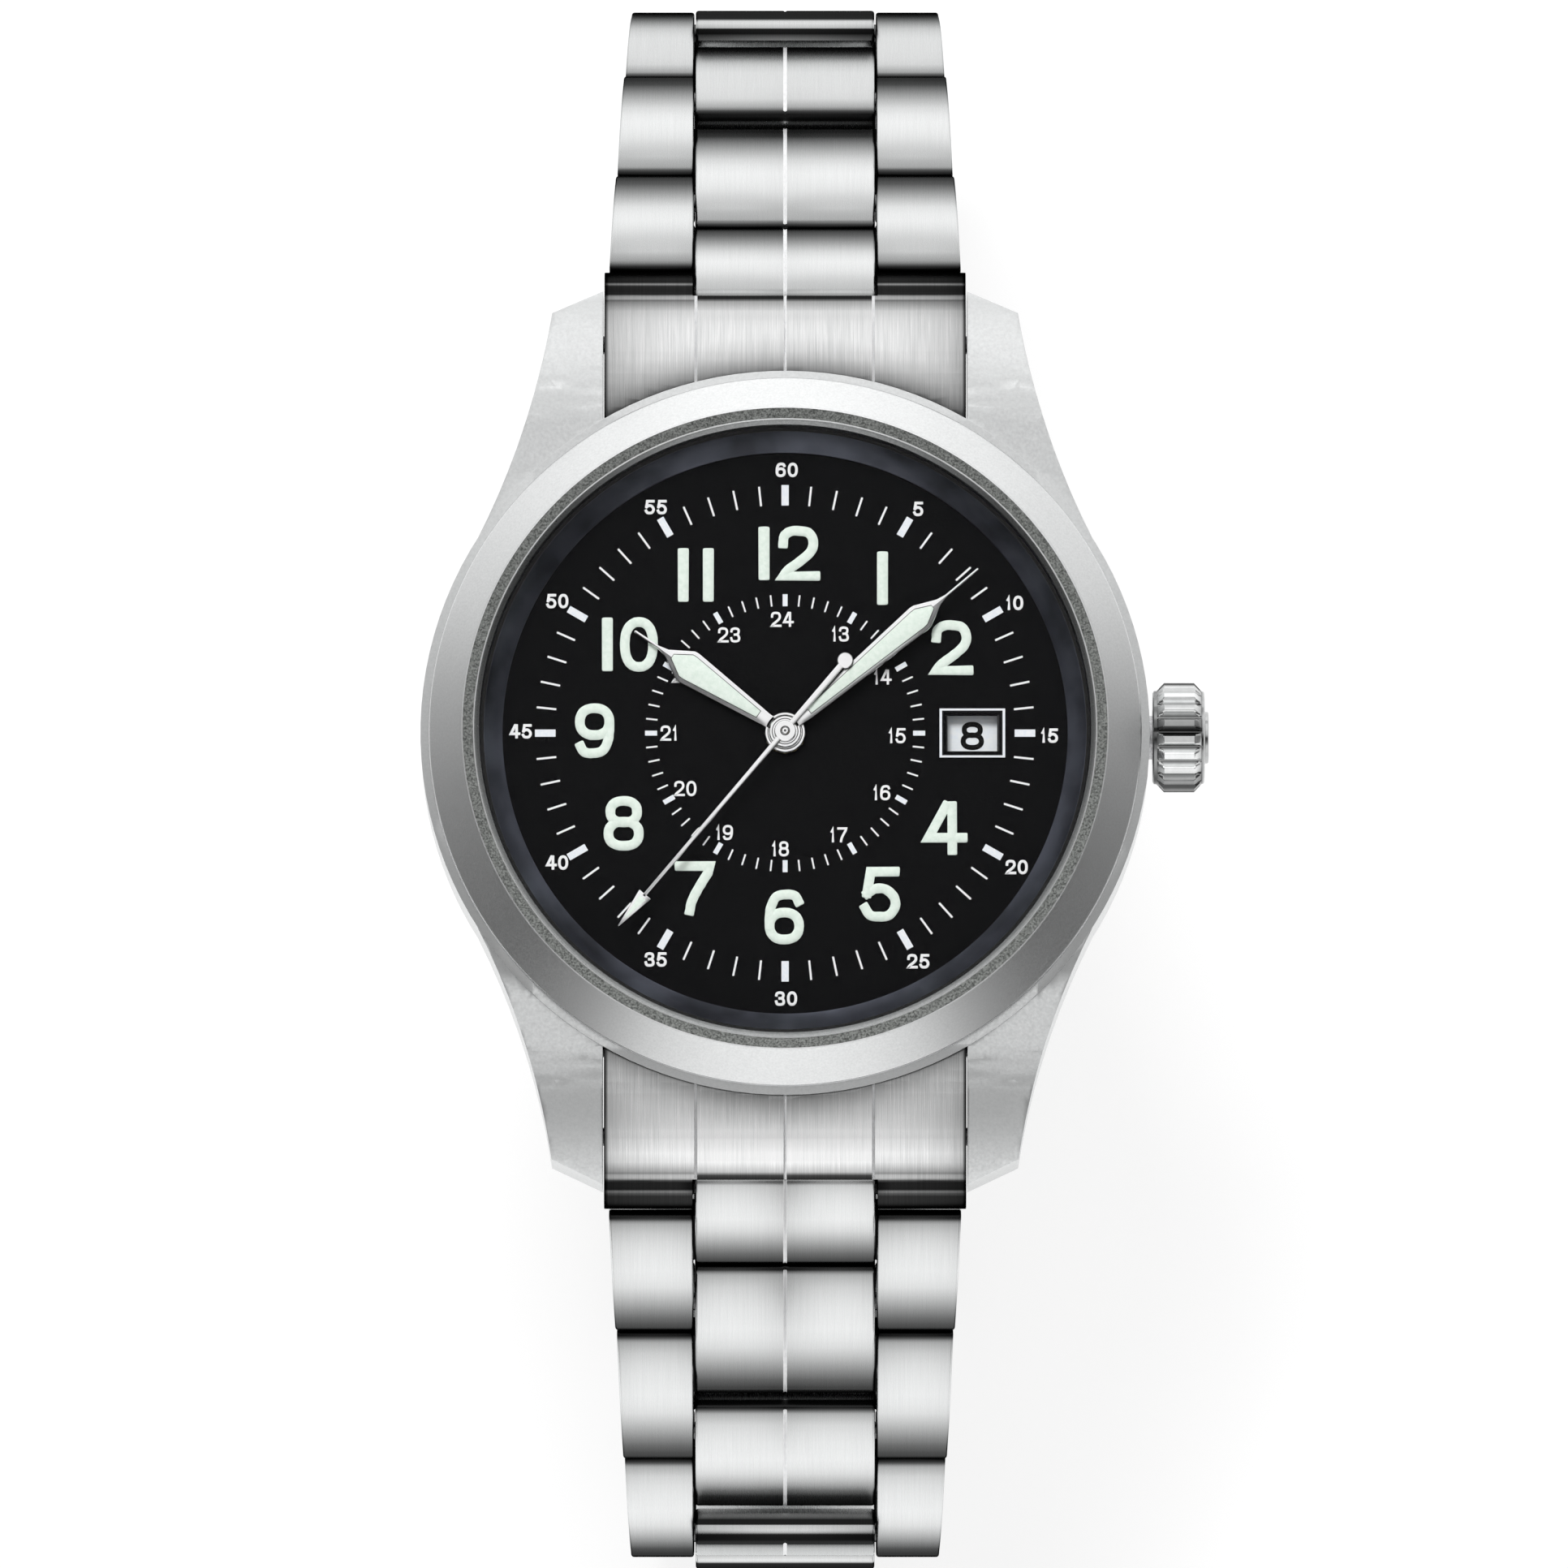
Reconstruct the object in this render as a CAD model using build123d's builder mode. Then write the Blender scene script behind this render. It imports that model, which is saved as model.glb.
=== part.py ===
from build123d import *
import os
from math import atan2, cos, degrees, radians, sin

os.makedirs("parts", exist_ok=True)

# A hand-wound field watch with a date, on a steel bracelet closed by a folding clasp.
# Millimetres. +Z points out of the dial, +X towards the crown, +Y towards 12 o'clock.
# The watch stands on the outer face of its clasp, z = 0, under the hands' axis.

# Running fit of everything that turns in something else, and how far a cut runs past
running_fit = 0.03
cut_margin = 1.0

# Hinge pins, spring bars and arbors are drawn with this many sides, and so are their bores
pin_sides = 12

# Case, as radii about the hands' axis
case_radius = 20.0
case_step = 0.45
bezel_radius = case_radius - case_step
case_wall = 3.25
bore_radius = case_radius - case_wall
ring_width = 0.85
ring_outer_radius = bore_radius + ring_width
dial_clearance = 0.25
dial_radius = bore_radius - dial_clearance
rehaut_width = 1.25
rehaut_inner_radius = bore_radius - rehaut_width

# Case, as heights over the underside of the middle case
band_height = 5.4
dial_bottom = 4.6
dial_top = 5.0
crystal_bottom = 6.5
bezel_shoulder = 5.9
ring_height = 7.35
bezel_top = 7.6
crystal_top = 7.75

# Lugs: their plan, then their top and their underside
lug_width = 20.0
lug_length = 4.7
lug_reach = case_radius + lug_length
lug_corner_drop = 1.3
lug_corner_reach = lug_reach - lug_corner_drop
lug_tip_width = 2.8
lug_tip_half_width = lug_width / 2 + lug_tip_width
lug_root_share = 0.75
lug_root_y = lug_root_share * case_radius
flank_mid_share = 0.75
flank_mid_x = flank_mid_share * case_radius
flank_mid_y = flank_mid_share * case_radius
flank_root_share = 0.42
flank_root_y = flank_root_share * case_radius
flank_root_x = (case_radius**2 - flank_root_y**2) ** 0.5
lug_tip_top = 3.2
lug_top_mid = 4.65
lug_top_root = 5.3
lug_top_root_share = 0.85
lug_top_root_y = lug_top_root_share * case_radius
lug_tip_bottom = -0.8
lug_under_mid = -0.15
lug_under_root_share = 0.8
lug_under_root_y = lug_under_root_share * case_radius
lug_top_mid_share = 0.5844
lug_under_mid_share = 0.5172
lug_top_mid_y = lug_top_root_y + lug_top_mid_share * (lug_reach - lug_top_root_y)
lug_under_mid_y = lug_under_root_y + lug_under_mid_share * (lug_reach - lug_under_root_y)

# Case back with its window
back_step = 1.7
back_flange_radius = case_radius - back_step
back_flange_depth = 1.3
back_window_margin = 4.05
back_window_radius = bore_radius - back_window_margin
back_glass_thickness = 0.9
back_glass_proud = 0.1
notch_count = 6
notch_width = 2.4
notch_length = 1.3
notch_depth = 0.5

# Dial furniture
date_x_share = 0.6242
date_x = date_x_share * dial_radius
date_opening_length = 2.9
date_opening_height = 2.0
date_frame_margin = 0.35
date_frame_thickness = 0.12
dial_hole_radius = 1.1
date_count = 31
date_ring_outer_margin = 2.1
date_ring_outer = date_x + date_ring_outer_margin
date_ring_inner_margin = 2.0
date_ring_inner = date_x - date_ring_inner_margin
date_ring_thickness = 0.2
date_ring_clearance = 0.05

# Movement: the plate sits in the case's lower bore, the bridge on the plate's back
dial_seat_width = 3.95
plate_radius = bore_radius - dial_seat_width
plate_bottom = 2.3
plate_top = 3.9
bridge_step = 0.4
bridge_radius = plate_radius - bridge_step
bridge_bottom = 1.1
bridge_edge_x = 0.9
balance_x_share = 0.4375
balance_x = balance_x_share * plate_radius
balance_y_share = -0.4844
balance_y = balance_y_share * plate_radius
balance_radius_share = 0.3125
balance_radius = balance_radius_share * plate_radius
balance_rim = 0.55
balance_spoke = 0.5
balance_bottom = 1.75
balance_top = 2.0
staff_radius = 0.2
cock_thickness = 0.3
cock_width = 3.0
cock_foot_length = 2.2
seconds_arbor_radius = 0.25
seconds_arbor_bottom = 1.2
seconds_pinion_radius = 0.8
seconds_pinion_bottom = 1.7

# Winding wheels on the bridge: the crown wheel drives the ratchet wheel
crown_wheel_x_share = 0.4844
crown_wheel_x = crown_wheel_x_share * plate_radius
crown_wheel_y_share = 0.2813
crown_wheel_y = crown_wheel_y_share * plate_radius
ratchet_x_share = 0.0625
ratchet_x = ratchet_x_share * plate_radius
ratchet_y_share = 0.4844
ratchet_y = ratchet_y_share * plate_radius
crown_wheel_teeth = 20
ratchet_teeth = 30
winding_wheel_thickness = 0.2
winding_stud_radius = 0.5

# Motion work: the cannon pinion drives the minute wheel, whose pinion drives the hour wheel
cannon_teeth = 8
minute_wheel_teeth = 24
minute_pinion_teeth = 8
hour_wheel_teeth = 32
motion_centre_distance = 2.88
motion_angle = 250.0
cannon_gear_bottom = 3.97
cannon_gear_top = 4.15
hour_gear_bottom = 4.22
hour_gear_top = 4.38
centre_tube_radius = 0.42
centre_tube_top = 5.1
cannon_radius = 0.62
hour_pipe_radius = 0.9
stud_radius = 0.2
tooth_tip_share = 0.5
tooth_root_share = 0.85

# Hands: angles clockwise from 12 o'clock, heights, and half widths at distances from the axis
hour_hand_angle = 304.1
minute_hand_angle = 49.7
seconds_hand_angle = 220.3
hour_hand_bottom = 5.3
hour_hand_top = 5.5
minute_hand_bottom = 5.7
minute_hand_top = 5.88
seconds_hand_bottom = 6.05
seconds_hand_top = 6.17
hour_hub_radius = 1.35
minute_hub_radius = 1.08
seconds_hub_radius = 0.6
hand_neck_length = 1.5
hour_neck_half = 0.45
hour_length_share = 0.6432
hour_length = hour_length_share * rehaut_inner_radius
hour_blade_half = 0.87
hour_blade_share = 0.642
hour_blade_length = hour_blade_share * hour_length
hour_shoulder_half = 0.17
hour_shoulder_share = 0.782
hour_shoulder_length = hour_shoulder_share * hour_length
hour_tip_half = 0.08
minute_neck_half = 0.4
minute_length_share = 0.8968
minute_length = minute_length_share * rehaut_inner_radius
minute_blade_half = 0.705
minute_blade_share = 0.694
minute_blade_length = minute_blade_share * minute_length
minute_shoulder_half = 0.15
minute_shoulder_share = 0.791
minute_shoulder_length = minute_shoulder_share * minute_length
minute_tip_half = 0.07
seconds_needle_half = 0.1
seconds_length_share = 0.9129
seconds_length = seconds_length_share * rehaut_inner_radius
seconds_arrow_share = 0.841
seconds_arrow_base = seconds_arrow_share * seconds_length
seconds_arrow_half = 0.385
seconds_tail_share = 0.36
seconds_tail = seconds_tail_share * seconds_length
seconds_tail_radius = 0.44

# Crown, stem and tube, along +X
crown_height = 3.0
tube_radius = 1.2
tube_bore = 0.85
tube_length = 1.9
tube_end = case_radius + tube_length
crown_gap = 0.15
crown_start = case_radius + crown_gap
crown_length = 3.1
crown_radius = 3.02
crown_cavity_radius = 1.5
crown_cavity_depth = 2.2
crown_chamfer = 0.45
flute_count = 20
flute_depth = 0.3
o_ring_inset = 0.45
o_ring_start = crown_start + o_ring_inset
o_ring_width = 0.4
stem_radius = 0.45
stem_inner_end_share = 0.4688
stem_inner_end = stem_inner_end_share * plate_radius
stem_passage = 0.7

# Bracelet: distances between hinges, and each piece's slope below the horizontal
link_count = 7
pitch = 8.9
first_pitch = 7.65
last_pitch = 8.0
link_slopes = [40.0, 43.0, 57.0, 96.0, 132.0, 163.0, 176.0]
first_narrowing = 0.26
first_half_width = lug_width / 2 - first_narrowing
last_half_width = 8.5
narrowing_link_count = 3
link_thickness = 2.6
centre_half_width = 4.95
bar_gap = 0.12
long_end = 2.2
short_end = 1.3
end_gap = 0.1
clasp_end_gap = 0.2
top_curve_radius = 15.0
top_flats = 5
end_flat_share = 0.35
relief_angle = 38.0
pin_radius = 0.5
first_hinge_inset = 0.1
first_hinge_y = lug_reach - first_hinge_inset
first_hinge_rise = 1.9

# End links and their spring bars
end_link_fit = 0.07
end_link_half_width = lug_width / 2 - end_link_fit
end_link_inner_y = lug_top_root_y
end_link_top_mid = 4.6
end_link_top_root = 5.2
end_link_under = 0.35
bar_inset = 2.8
bar_y = lug_reach - bar_inset
end_link_top_mid_y = bar_y
bar_rise = 1.75
bar_radius = 0.5
bar_tip_depth = 0.9
bar_tip_reach = lug_width / 2 + bar_tip_depth

# Clasp
clasp_hinge_height = 1.9
cover_thickness = 0.9
cover_margin = 0.1
cover_half_width = last_half_width + cover_margin
wall_thickness = 0.85
wall_height = 3.6
cover_tail_radius = 1.3
cover_front_radius = 2.4
cover_hinge_inset = 3.3
cover_hinge_height = 1.75
nose_neck_length = 2.4
nose_neck_bottom = 0.6
nose_neck_top = 2.6
nose_arm_bottom = 0.2
nose_arm_top = 1.2
blade_thickness = 0.8
blade_half_width = 7.4
blade_a_bottom = 1.3
blade_b_bottom = 2.75
fold_hinge_inset = 3.8
fold_hinge_height = 2.35
knuckle_radius = 0.8
fold_knuckle_half = 3.4
knuckle_gap = 0.15
blade_pin_radius = 0.4
blade_b_end_inset = 2.24
blade_b_slope_length = 0.9
arm_shoulder_inset = 1.44
arm_shoulder_height = 2.3
button_length = 5.0
button_height = 1.6
button_bottom = 1.3
button_depth = 0.7
button_inner_x = cover_half_width - button_depth
button_proud = 0.5
button_outer_x = cover_half_width + button_proud
button_fit = 0.05
bar_hole_depth = 1.2

# Hinge places along each side of the bracelet, from the case to the clasp
pitches = [first_pitch] + [pitch] * (link_count - 2) + [last_pitch]
hinge_y = [first_hinge_y]
hinge_drop = [0]
for length, slope in zip(pitches, link_slopes):
    hinge_y.append(hinge_y[-1] + length * cos(radians(slope)))
    hinge_drop.append(hinge_drop[-1] + length * sin(radians(slope)))
hinge_z = [clasp_hinge_height + hinge_drop[-1] - drop for drop in hinge_drop]
clasp_y = hinge_y[-1]
case_bottom = hinge_z[0] - first_hinge_rise
half_thickness = link_thickness / 2
crown_z = case_bottom + crown_height


def level(height):
    """A height over the middle case's underside, in the watch's own frame."""
    return case_bottom + height


def pin_outline(radius, mode=Mode.ADD):
    """Draws a pin's section on the open sketch."""
    RegularPolygon(radius=radius, side_count=pin_sides, mode=mode)


def bore_outline(radius, mode=Mode.SUBTRACT):
    """Draws a bore that clears a pin of the same radius less its fit."""
    RegularPolygon(radius=radius, side_count=pin_sides, major_radius=False, mode=mode)


# Middle case with its four lugs, a seat for the dial and a lower bore for the movement
with BuildPart() as mid_case:
    with BuildSketch(Plane.XY.offset(level(lug_tip_bottom))):
        with BuildLine():
            Polyline(
                (flank_root_x, flank_root_y),
                (lug_width / 2, lug_root_y),
                (lug_width / 2, lug_reach),
                (lug_tip_half_width, lug_corner_reach),
            )
            ThreePointArc(
                (lug_tip_half_width, lug_corner_reach),
                (flank_mid_x, flank_mid_y),
                (flank_root_x, flank_root_y),
            )
        make_face()
        mirror(about=Plane.YZ)
        mirror(about=Plane.XZ)
    extrude(amount=band_height - lug_tip_bottom)
    with BuildSketch(Plane.YZ):
        with BuildLine():
            Line((0, level(0)), (lug_under_root_y, level(0)))
            ThreePointArc(
                (lug_under_root_y, level(0)),
                (lug_under_mid_y, level(lug_under_mid)),
                (lug_reach, level(lug_tip_bottom)),
            )
            Line((lug_reach, level(lug_tip_bottom)), (lug_reach, level(lug_tip_top)))
            ThreePointArc(
                (lug_reach, level(lug_tip_top)),
                (lug_top_mid_y, level(lug_top_mid)),
                (lug_top_root_y, level(lug_top_root)),
            )
            Line((lug_top_root_y, level(lug_top_root)), (0, level(lug_top_root)))
            Line((0, level(lug_top_root)), (0, level(0)))
        make_face()
        mirror(about=Plane.YZ)
    extrude(amount=case_radius, both=True, mode=Mode.INTERSECT)
    with BuildSketch(Plane.XY.offset(level(0))):
        Circle(case_radius)
    extrude(amount=band_height)
    with BuildSketch(Plane.XY.offset(level(0))):
        Circle(plate_radius)
    extrude(amount=band_height, mode=Mode.SUBTRACT)
    with BuildSketch(Plane.XY.offset(level(dial_bottom))):
        Circle(bore_radius)
    extrude(amount=band_height - dial_bottom, mode=Mode.SUBTRACT)
    with BuildSketch(Plane.YZ):
        with Locations((0, crown_z)):
            bore_outline(stem_passage, mode=Mode.ADD)
    extrude(amount=case_radius, mode=Mode.SUBTRACT)
    with BuildSketch(Plane.YZ.offset(bore_radius)):
        with Locations((0, crown_z)):
            Circle(tube_radius)
    extrude(amount=case_radius - bore_radius + cut_margin, mode=Mode.SUBTRACT)
    with BuildSketch(Plane.YZ):
        with Locations((bar_y, level(bar_rise)), (-bar_y, level(bar_rise))):
            pin_outline(bar_radius)
    extrude(amount=bar_tip_reach, both=True, mode=Mode.SUBTRACT)
mid_case.part.label = "mid_case"
export_step(mid_case.part, "parts/mid_case.step")

# Bezel: a sloping shoulder, and inside its edge a ring that falls towards the crystal
with BuildPart() as bezel:
    with BuildSketch(Plane.XZ):
        with BuildLine():
            Polyline(
                (bore_radius, level(band_height)),
                (bezel_radius, level(band_height)),
                (bezel_radius, level(bezel_shoulder)),
                (ring_outer_radius, level(bezel_top)),
                (bore_radius, level(ring_height)),
                close=True,
            )
        make_face()
    revolve(axis=Axis.Z)
bezel.part.label = "bezel"
export_step(bezel.part, "parts/bezel.step")

# Crystal, pressed in the bezel
with BuildPart() as crystal:
    with BuildSketch(Plane.XY.offset(level(crystal_bottom))):
        Circle(bore_radius)
    extrude(amount=crystal_top - crystal_bottom)
crystal.part.label = "crystal"
export_step(crystal.part, "parts/crystal.step")

# Sloping ring round the dial, under the crystal
with BuildPart() as rehaut_ring:
    with BuildSketch(Plane.XZ):
        with BuildLine():
            Polyline(
                (rehaut_inner_radius, level(dial_top)),
                (bore_radius, level(dial_top)),
                (bore_radius, level(crystal_bottom)),
                close=True,
            )
        make_face()
    revolve(axis=Axis.Z)
rehaut_ring.part.label = "rehaut_ring"
export_step(rehaut_ring.part, "parts/rehaut_ring.step")

# Dial with its centre hole and date window
with BuildPart() as dial:
    with BuildSketch(Plane.XY.offset(level(dial_bottom))):
        Circle(dial_radius)
        bore_outline(dial_hole_radius)
        with Locations((date_x, 0)):
            Rectangle(date_opening_length, date_opening_height, mode=Mode.SUBTRACT)
    extrude(amount=dial_top - dial_bottom)
dial.part.label = "dial"
export_step(dial.part, "parts/dial.step")

# Raised frame round the date window
with BuildPart() as date_frame:
    with BuildSketch(Plane.XY.offset(level(dial_top))):
        with Locations((date_x, 0)):
            Rectangle(
                date_opening_length + 2 * date_frame_margin,
                date_opening_height + 2 * date_frame_margin,
            )
            Rectangle(date_opening_length, date_opening_height, mode=Mode.SUBTRACT)
    extrude(amount=date_frame_thickness)
date_frame.part.label = "date_frame"
export_step(date_frame.part, "parts/date_frame.step")

# Date ring, turning under the dial, with a flat on its inner edge for each date
with BuildPart() as date_ring:
    with BuildSketch(Plane.XY.offset(level(plate_top + date_ring_clearance))):
        Circle(date_ring_outer)
        RegularPolygon(radius=date_ring_inner, side_count=date_count, mode=Mode.SUBTRACT)
    extrude(amount=date_ring_thickness)
date_ring.part.label = "date_ring"
export_step(date_ring.part, "parts/date_ring.step")

# Case back with its wrench notches and its window
with BuildPart() as case_back:
    with BuildSketch(Plane.XY.offset(level(-back_flange_depth))):
        Circle(back_flange_radius)
        Circle(back_window_radius, mode=Mode.SUBTRACT)
    extrude(amount=back_flange_depth)
    with BuildSketch(Plane.XY.offset(level(-back_flange_depth))):
        with PolarLocations(back_flange_radius, notch_count):
            Rectangle(2 * notch_length, notch_width)
    extrude(amount=notch_depth, mode=Mode.SUBTRACT)
case_back.part.label = "case_back"
export_step(case_back.part, "parts/case_back.step")

with BuildPart() as back_crystal:
    with BuildSketch(Plane.XY.offset(level(-back_flange_depth + back_glass_proud))):
        Circle(back_window_radius)
    extrude(amount=back_glass_thickness)
back_crystal.part.label = "back_crystal"
export_step(back_crystal.part, "parts/back_crystal.step")

# Main plate with its centre tube, minute wheel stud and stem bore
minute_wheel_x = motion_centre_distance * cos(radians(motion_angle))
minute_wheel_y = motion_centre_distance * sin(radians(motion_angle))
with BuildPart() as main_plate:
    with BuildSketch(Plane.XY.offset(level(plate_bottom))):
        Circle(plate_radius)
    extrude(amount=plate_top - plate_bottom)
    with BuildSketch(Plane.XY.offset(level(plate_top))):
        pin_outline(centre_tube_radius)
    extrude(amount=centre_tube_top - plate_top)
    with BuildSketch(Plane.XY.offset(level(plate_top))):
        with Locations((minute_wheel_x, minute_wheel_y)):
            pin_outline(stud_radius)
    extrude(amount=hour_gear_top - plate_top)
    with BuildSketch(Plane.XY.offset(level(plate_bottom))):
        bore_outline(seconds_arbor_radius + running_fit, mode=Mode.ADD)
    extrude(amount=centre_tube_top - plate_bottom, mode=Mode.SUBTRACT)
    with BuildSketch(Plane.YZ.offset(stem_inner_end)):
        with Locations((0, crown_z)):
            bore_outline(stem_radius + running_fit, mode=Mode.ADD)
    extrude(amount=plate_radius, mode=Mode.SUBTRACT)
main_plate.part.label = "main_plate"
export_step(main_plate.part, "parts/main_plate.step")

# Train bridge on the back of the plate, cut back round the balance, with two winding studs
bridge_cut_x = bridge_radius / 2 + bridge_edge_x
with BuildPart() as train_bridge:
    with BuildSketch(Plane.XY.offset(level(bridge_bottom))):
        Circle(bridge_radius)
        with Locations((balance_x, balance_y)):
            Circle(balance_radius + balance_rim, mode=Mode.SUBTRACT)
        with Locations((bridge_cut_x, -bridge_cut_x)):
            Rectangle(bridge_radius, bridge_radius, mode=Mode.SUBTRACT)
    extrude(amount=plate_bottom - bridge_bottom)
    with BuildSketch(Plane.XY.offset(level(bridge_bottom - winding_wheel_thickness - running_fit))):
        with Locations((crown_wheel_x, crown_wheel_y), (ratchet_x, ratchet_y)):
            pin_outline(winding_stud_radius)
    extrude(amount=winding_wheel_thickness + running_fit)
    with BuildSketch(Plane.XY.offset(level(seconds_pinion_bottom - running_fit))):
        bore_outline(seconds_pinion_radius + running_fit, mode=Mode.ADD)
    extrude(amount=plate_bottom - seconds_pinion_bottom + running_fit, mode=Mode.SUBTRACT)
    with BuildSketch(Plane.XY.offset(level(seconds_arbor_bottom - running_fit))):
        bore_outline(seconds_arbor_radius + running_fit, mode=Mode.ADD)
    extrude(amount=plate_bottom - seconds_arbor_bottom + running_fit, mode=Mode.SUBTRACT)
train_bridge.part.label = "train_bridge"
export_step(train_bridge.part, "parts/train_bridge.step")

# Balance wheel with two spokes and its staff
with BuildPart() as balance_wheel:
    with BuildSketch(Plane.XY.offset(level(balance_bottom))):
        with Locations((balance_x, balance_y)):
            Circle(balance_radius)
            Circle(balance_radius - balance_rim, mode=Mode.SUBTRACT)
            Rectangle(2 * balance_radius - balance_rim, balance_spoke)
    extrude(amount=balance_top - balance_bottom)
    with BuildSketch(Plane.XY.offset(level(bridge_bottom + cock_thickness + running_fit))):
        with Locations((balance_x, balance_y)):
            pin_outline(staff_radius)
    extrude(amount=plate_bottom - bridge_bottom - cock_thickness - 2 * running_fit)
balance_wheel.part.label = "balance_wheel"
export_step(balance_wheel.part, "parts/balance_wheel.step")

# Balance cock: a foot at the plate's rim and an arm over the staff
cock_reach = (balance_x**2 + balance_y**2) ** 0.5
cock_plane = Plane(
    origin=(0, 0, level(bridge_bottom)), x_dir=(balance_x, balance_y, 0), z_dir=(0, 0, 1)
)
cock_foot_inner = cock_reach + balance_radius + running_fit
with BuildPart() as balance_cock:
    with BuildSketch(cock_plane):
        with Locations((cock_reach, 0)):
            Circle(cock_width / 2)
        with Locations(((cock_reach + bridge_radius) / 2, 0)):
            Rectangle(bridge_radius - cock_reach, cock_width)
    extrude(amount=cock_thickness)
    with BuildSketch(cock_plane):
        Circle(plate_radius)
        Circle(cock_foot_inner, mode=Mode.SUBTRACT)
        with Locations((bridge_radius, 0)):
            Rectangle(2 * cock_foot_length, cock_width, mode=Mode.INTERSECT)
    extrude(amount=plate_bottom - bridge_bottom)
balance_cock.part.label = "balance_cock"
export_step(balance_cock.part, "parts/balance_cock.step")


def gear_outline(radius, teeth, module):
    """Draws a disc with pointed teeth, one of them along local +X, on the open sketch."""
    tip = radius + tooth_tip_share * module
    root = radius - tooth_root_share * module
    points = []
    for tooth in range(teeth):
        tip_angle = radians(360 * tooth / teeth)
        root_angle = radians(360 * (tooth + 0.5) / teeth)
        points.append((tip * cos(tip_angle), tip * sin(tip_angle)))
        points.append((root * cos(root_angle), root * sin(root_angle)))
    Polygon(*points, align=None)


def gear_plane(x, y, height, angle):
    """A plane at a place and height whose local +X points at an angle from the watch's +X."""
    return Plane(
        origin=(x, y, level(height)),
        x_dir=(cos(radians(angle)), sin(radians(angle)), 0),
        z_dir=(0, 0, 1),
    )


# Winding wheels, on the bridge's studs
winding_angle = degrees(atan2(ratchet_y - crown_wheel_y, ratchet_x - crown_wheel_x))
winding_distance = ((ratchet_x - crown_wheel_x) ** 2 + (ratchet_y - crown_wheel_y) ** 2) ** 0.5
crown_wheel_radius = winding_distance * crown_wheel_teeth / (crown_wheel_teeth + ratchet_teeth)
winding_module = 2 * crown_wheel_radius / crown_wheel_teeth
winding_wheel_bottom = bridge_bottom - winding_wheel_thickness - running_fit
with BuildPart() as crown_wheel:
    with BuildSketch(
        gear_plane(crown_wheel_x, crown_wheel_y, winding_wheel_bottom, winding_angle)
    ):
        gear_outline(crown_wheel_radius, crown_wheel_teeth, winding_module)
        bore_outline(winding_stud_radius + running_fit)
    extrude(amount=winding_wheel_thickness)
crown_wheel.part.label = "crown_wheel"
export_step(crown_wheel.part, "parts/crown_wheel.step")

with BuildPart() as ratchet_wheel:
    with BuildSketch(
        gear_plane(
            ratchet_x, ratchet_y, winding_wheel_bottom, winding_angle + 180 + 180 / ratchet_teeth
        )
    ):
        gear_outline(winding_distance - crown_wheel_radius, ratchet_teeth, winding_module)
        bore_outline(winding_stud_radius + running_fit)
    extrude(amount=winding_wheel_thickness)
ratchet_wheel.part.label = "ratchet_wheel"
export_step(ratchet_wheel.part, "parts/ratchet_wheel.step")

# Cannon pinion: its pipe carries the minute hand
cannon_share = cannon_teeth / (cannon_teeth + minute_wheel_teeth)
pinion_share = minute_pinion_teeth / (minute_pinion_teeth + hour_wheel_teeth)
cannon_module = 2 * motion_centre_distance * cannon_share / cannon_teeth
pinion_module = 2 * motion_centre_distance * pinion_share / minute_pinion_teeth
with BuildPart() as cannon_pinion:
    with BuildSketch(gear_plane(0, 0, cannon_gear_bottom, motion_angle)):
        gear_outline(motion_centre_distance * cannon_share, cannon_teeth, cannon_module)
    extrude(amount=cannon_gear_top - cannon_gear_bottom)
    with BuildSketch(Plane.XY.offset(level(cannon_gear_bottom))):
        pin_outline(cannon_radius)
    extrude(amount=minute_hand_top - cannon_gear_bottom)
    with BuildSketch(Plane.XY.offset(level(cannon_gear_bottom))):
        bore_outline(centre_tube_radius + running_fit, mode=Mode.ADD)
    extrude(amount=minute_hand_top - cannon_gear_bottom, mode=Mode.SUBTRACT)
cannon_pinion.part.label = "cannon_pinion"
export_step(cannon_pinion.part, "parts/cannon_pinion.step")

# Minute wheel and its pinion, on the plate's stud
minute_wheel_angle = motion_angle + 180 + 180 / minute_wheel_teeth
with BuildPart() as minute_wheel:
    with BuildSketch(
        gear_plane(minute_wheel_x, minute_wheel_y, cannon_gear_bottom, minute_wheel_angle)
    ):
        gear_outline(
            motion_centre_distance * (1 - cannon_share), minute_wheel_teeth, cannon_module
        )
    extrude(amount=cannon_gear_top - cannon_gear_bottom)
    with BuildSketch(
        gear_plane(minute_wheel_x, minute_wheel_y, cannon_gear_top, motion_angle + 180)
    ):
        gear_outline(motion_centre_distance * pinion_share, minute_pinion_teeth, pinion_module)
    extrude(amount=hour_gear_top - cannon_gear_top)
    with BuildSketch(Plane.XY.offset(level(cannon_gear_bottom))):
        with Locations((minute_wheel_x, minute_wheel_y)):
            bore_outline(stud_radius + running_fit, mode=Mode.ADD)
    extrude(amount=hour_gear_top - cannon_gear_bottom, mode=Mode.SUBTRACT)
minute_wheel.part.label = "minute_wheel"
export_step(minute_wheel.part, "parts/minute_wheel.step")

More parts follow.
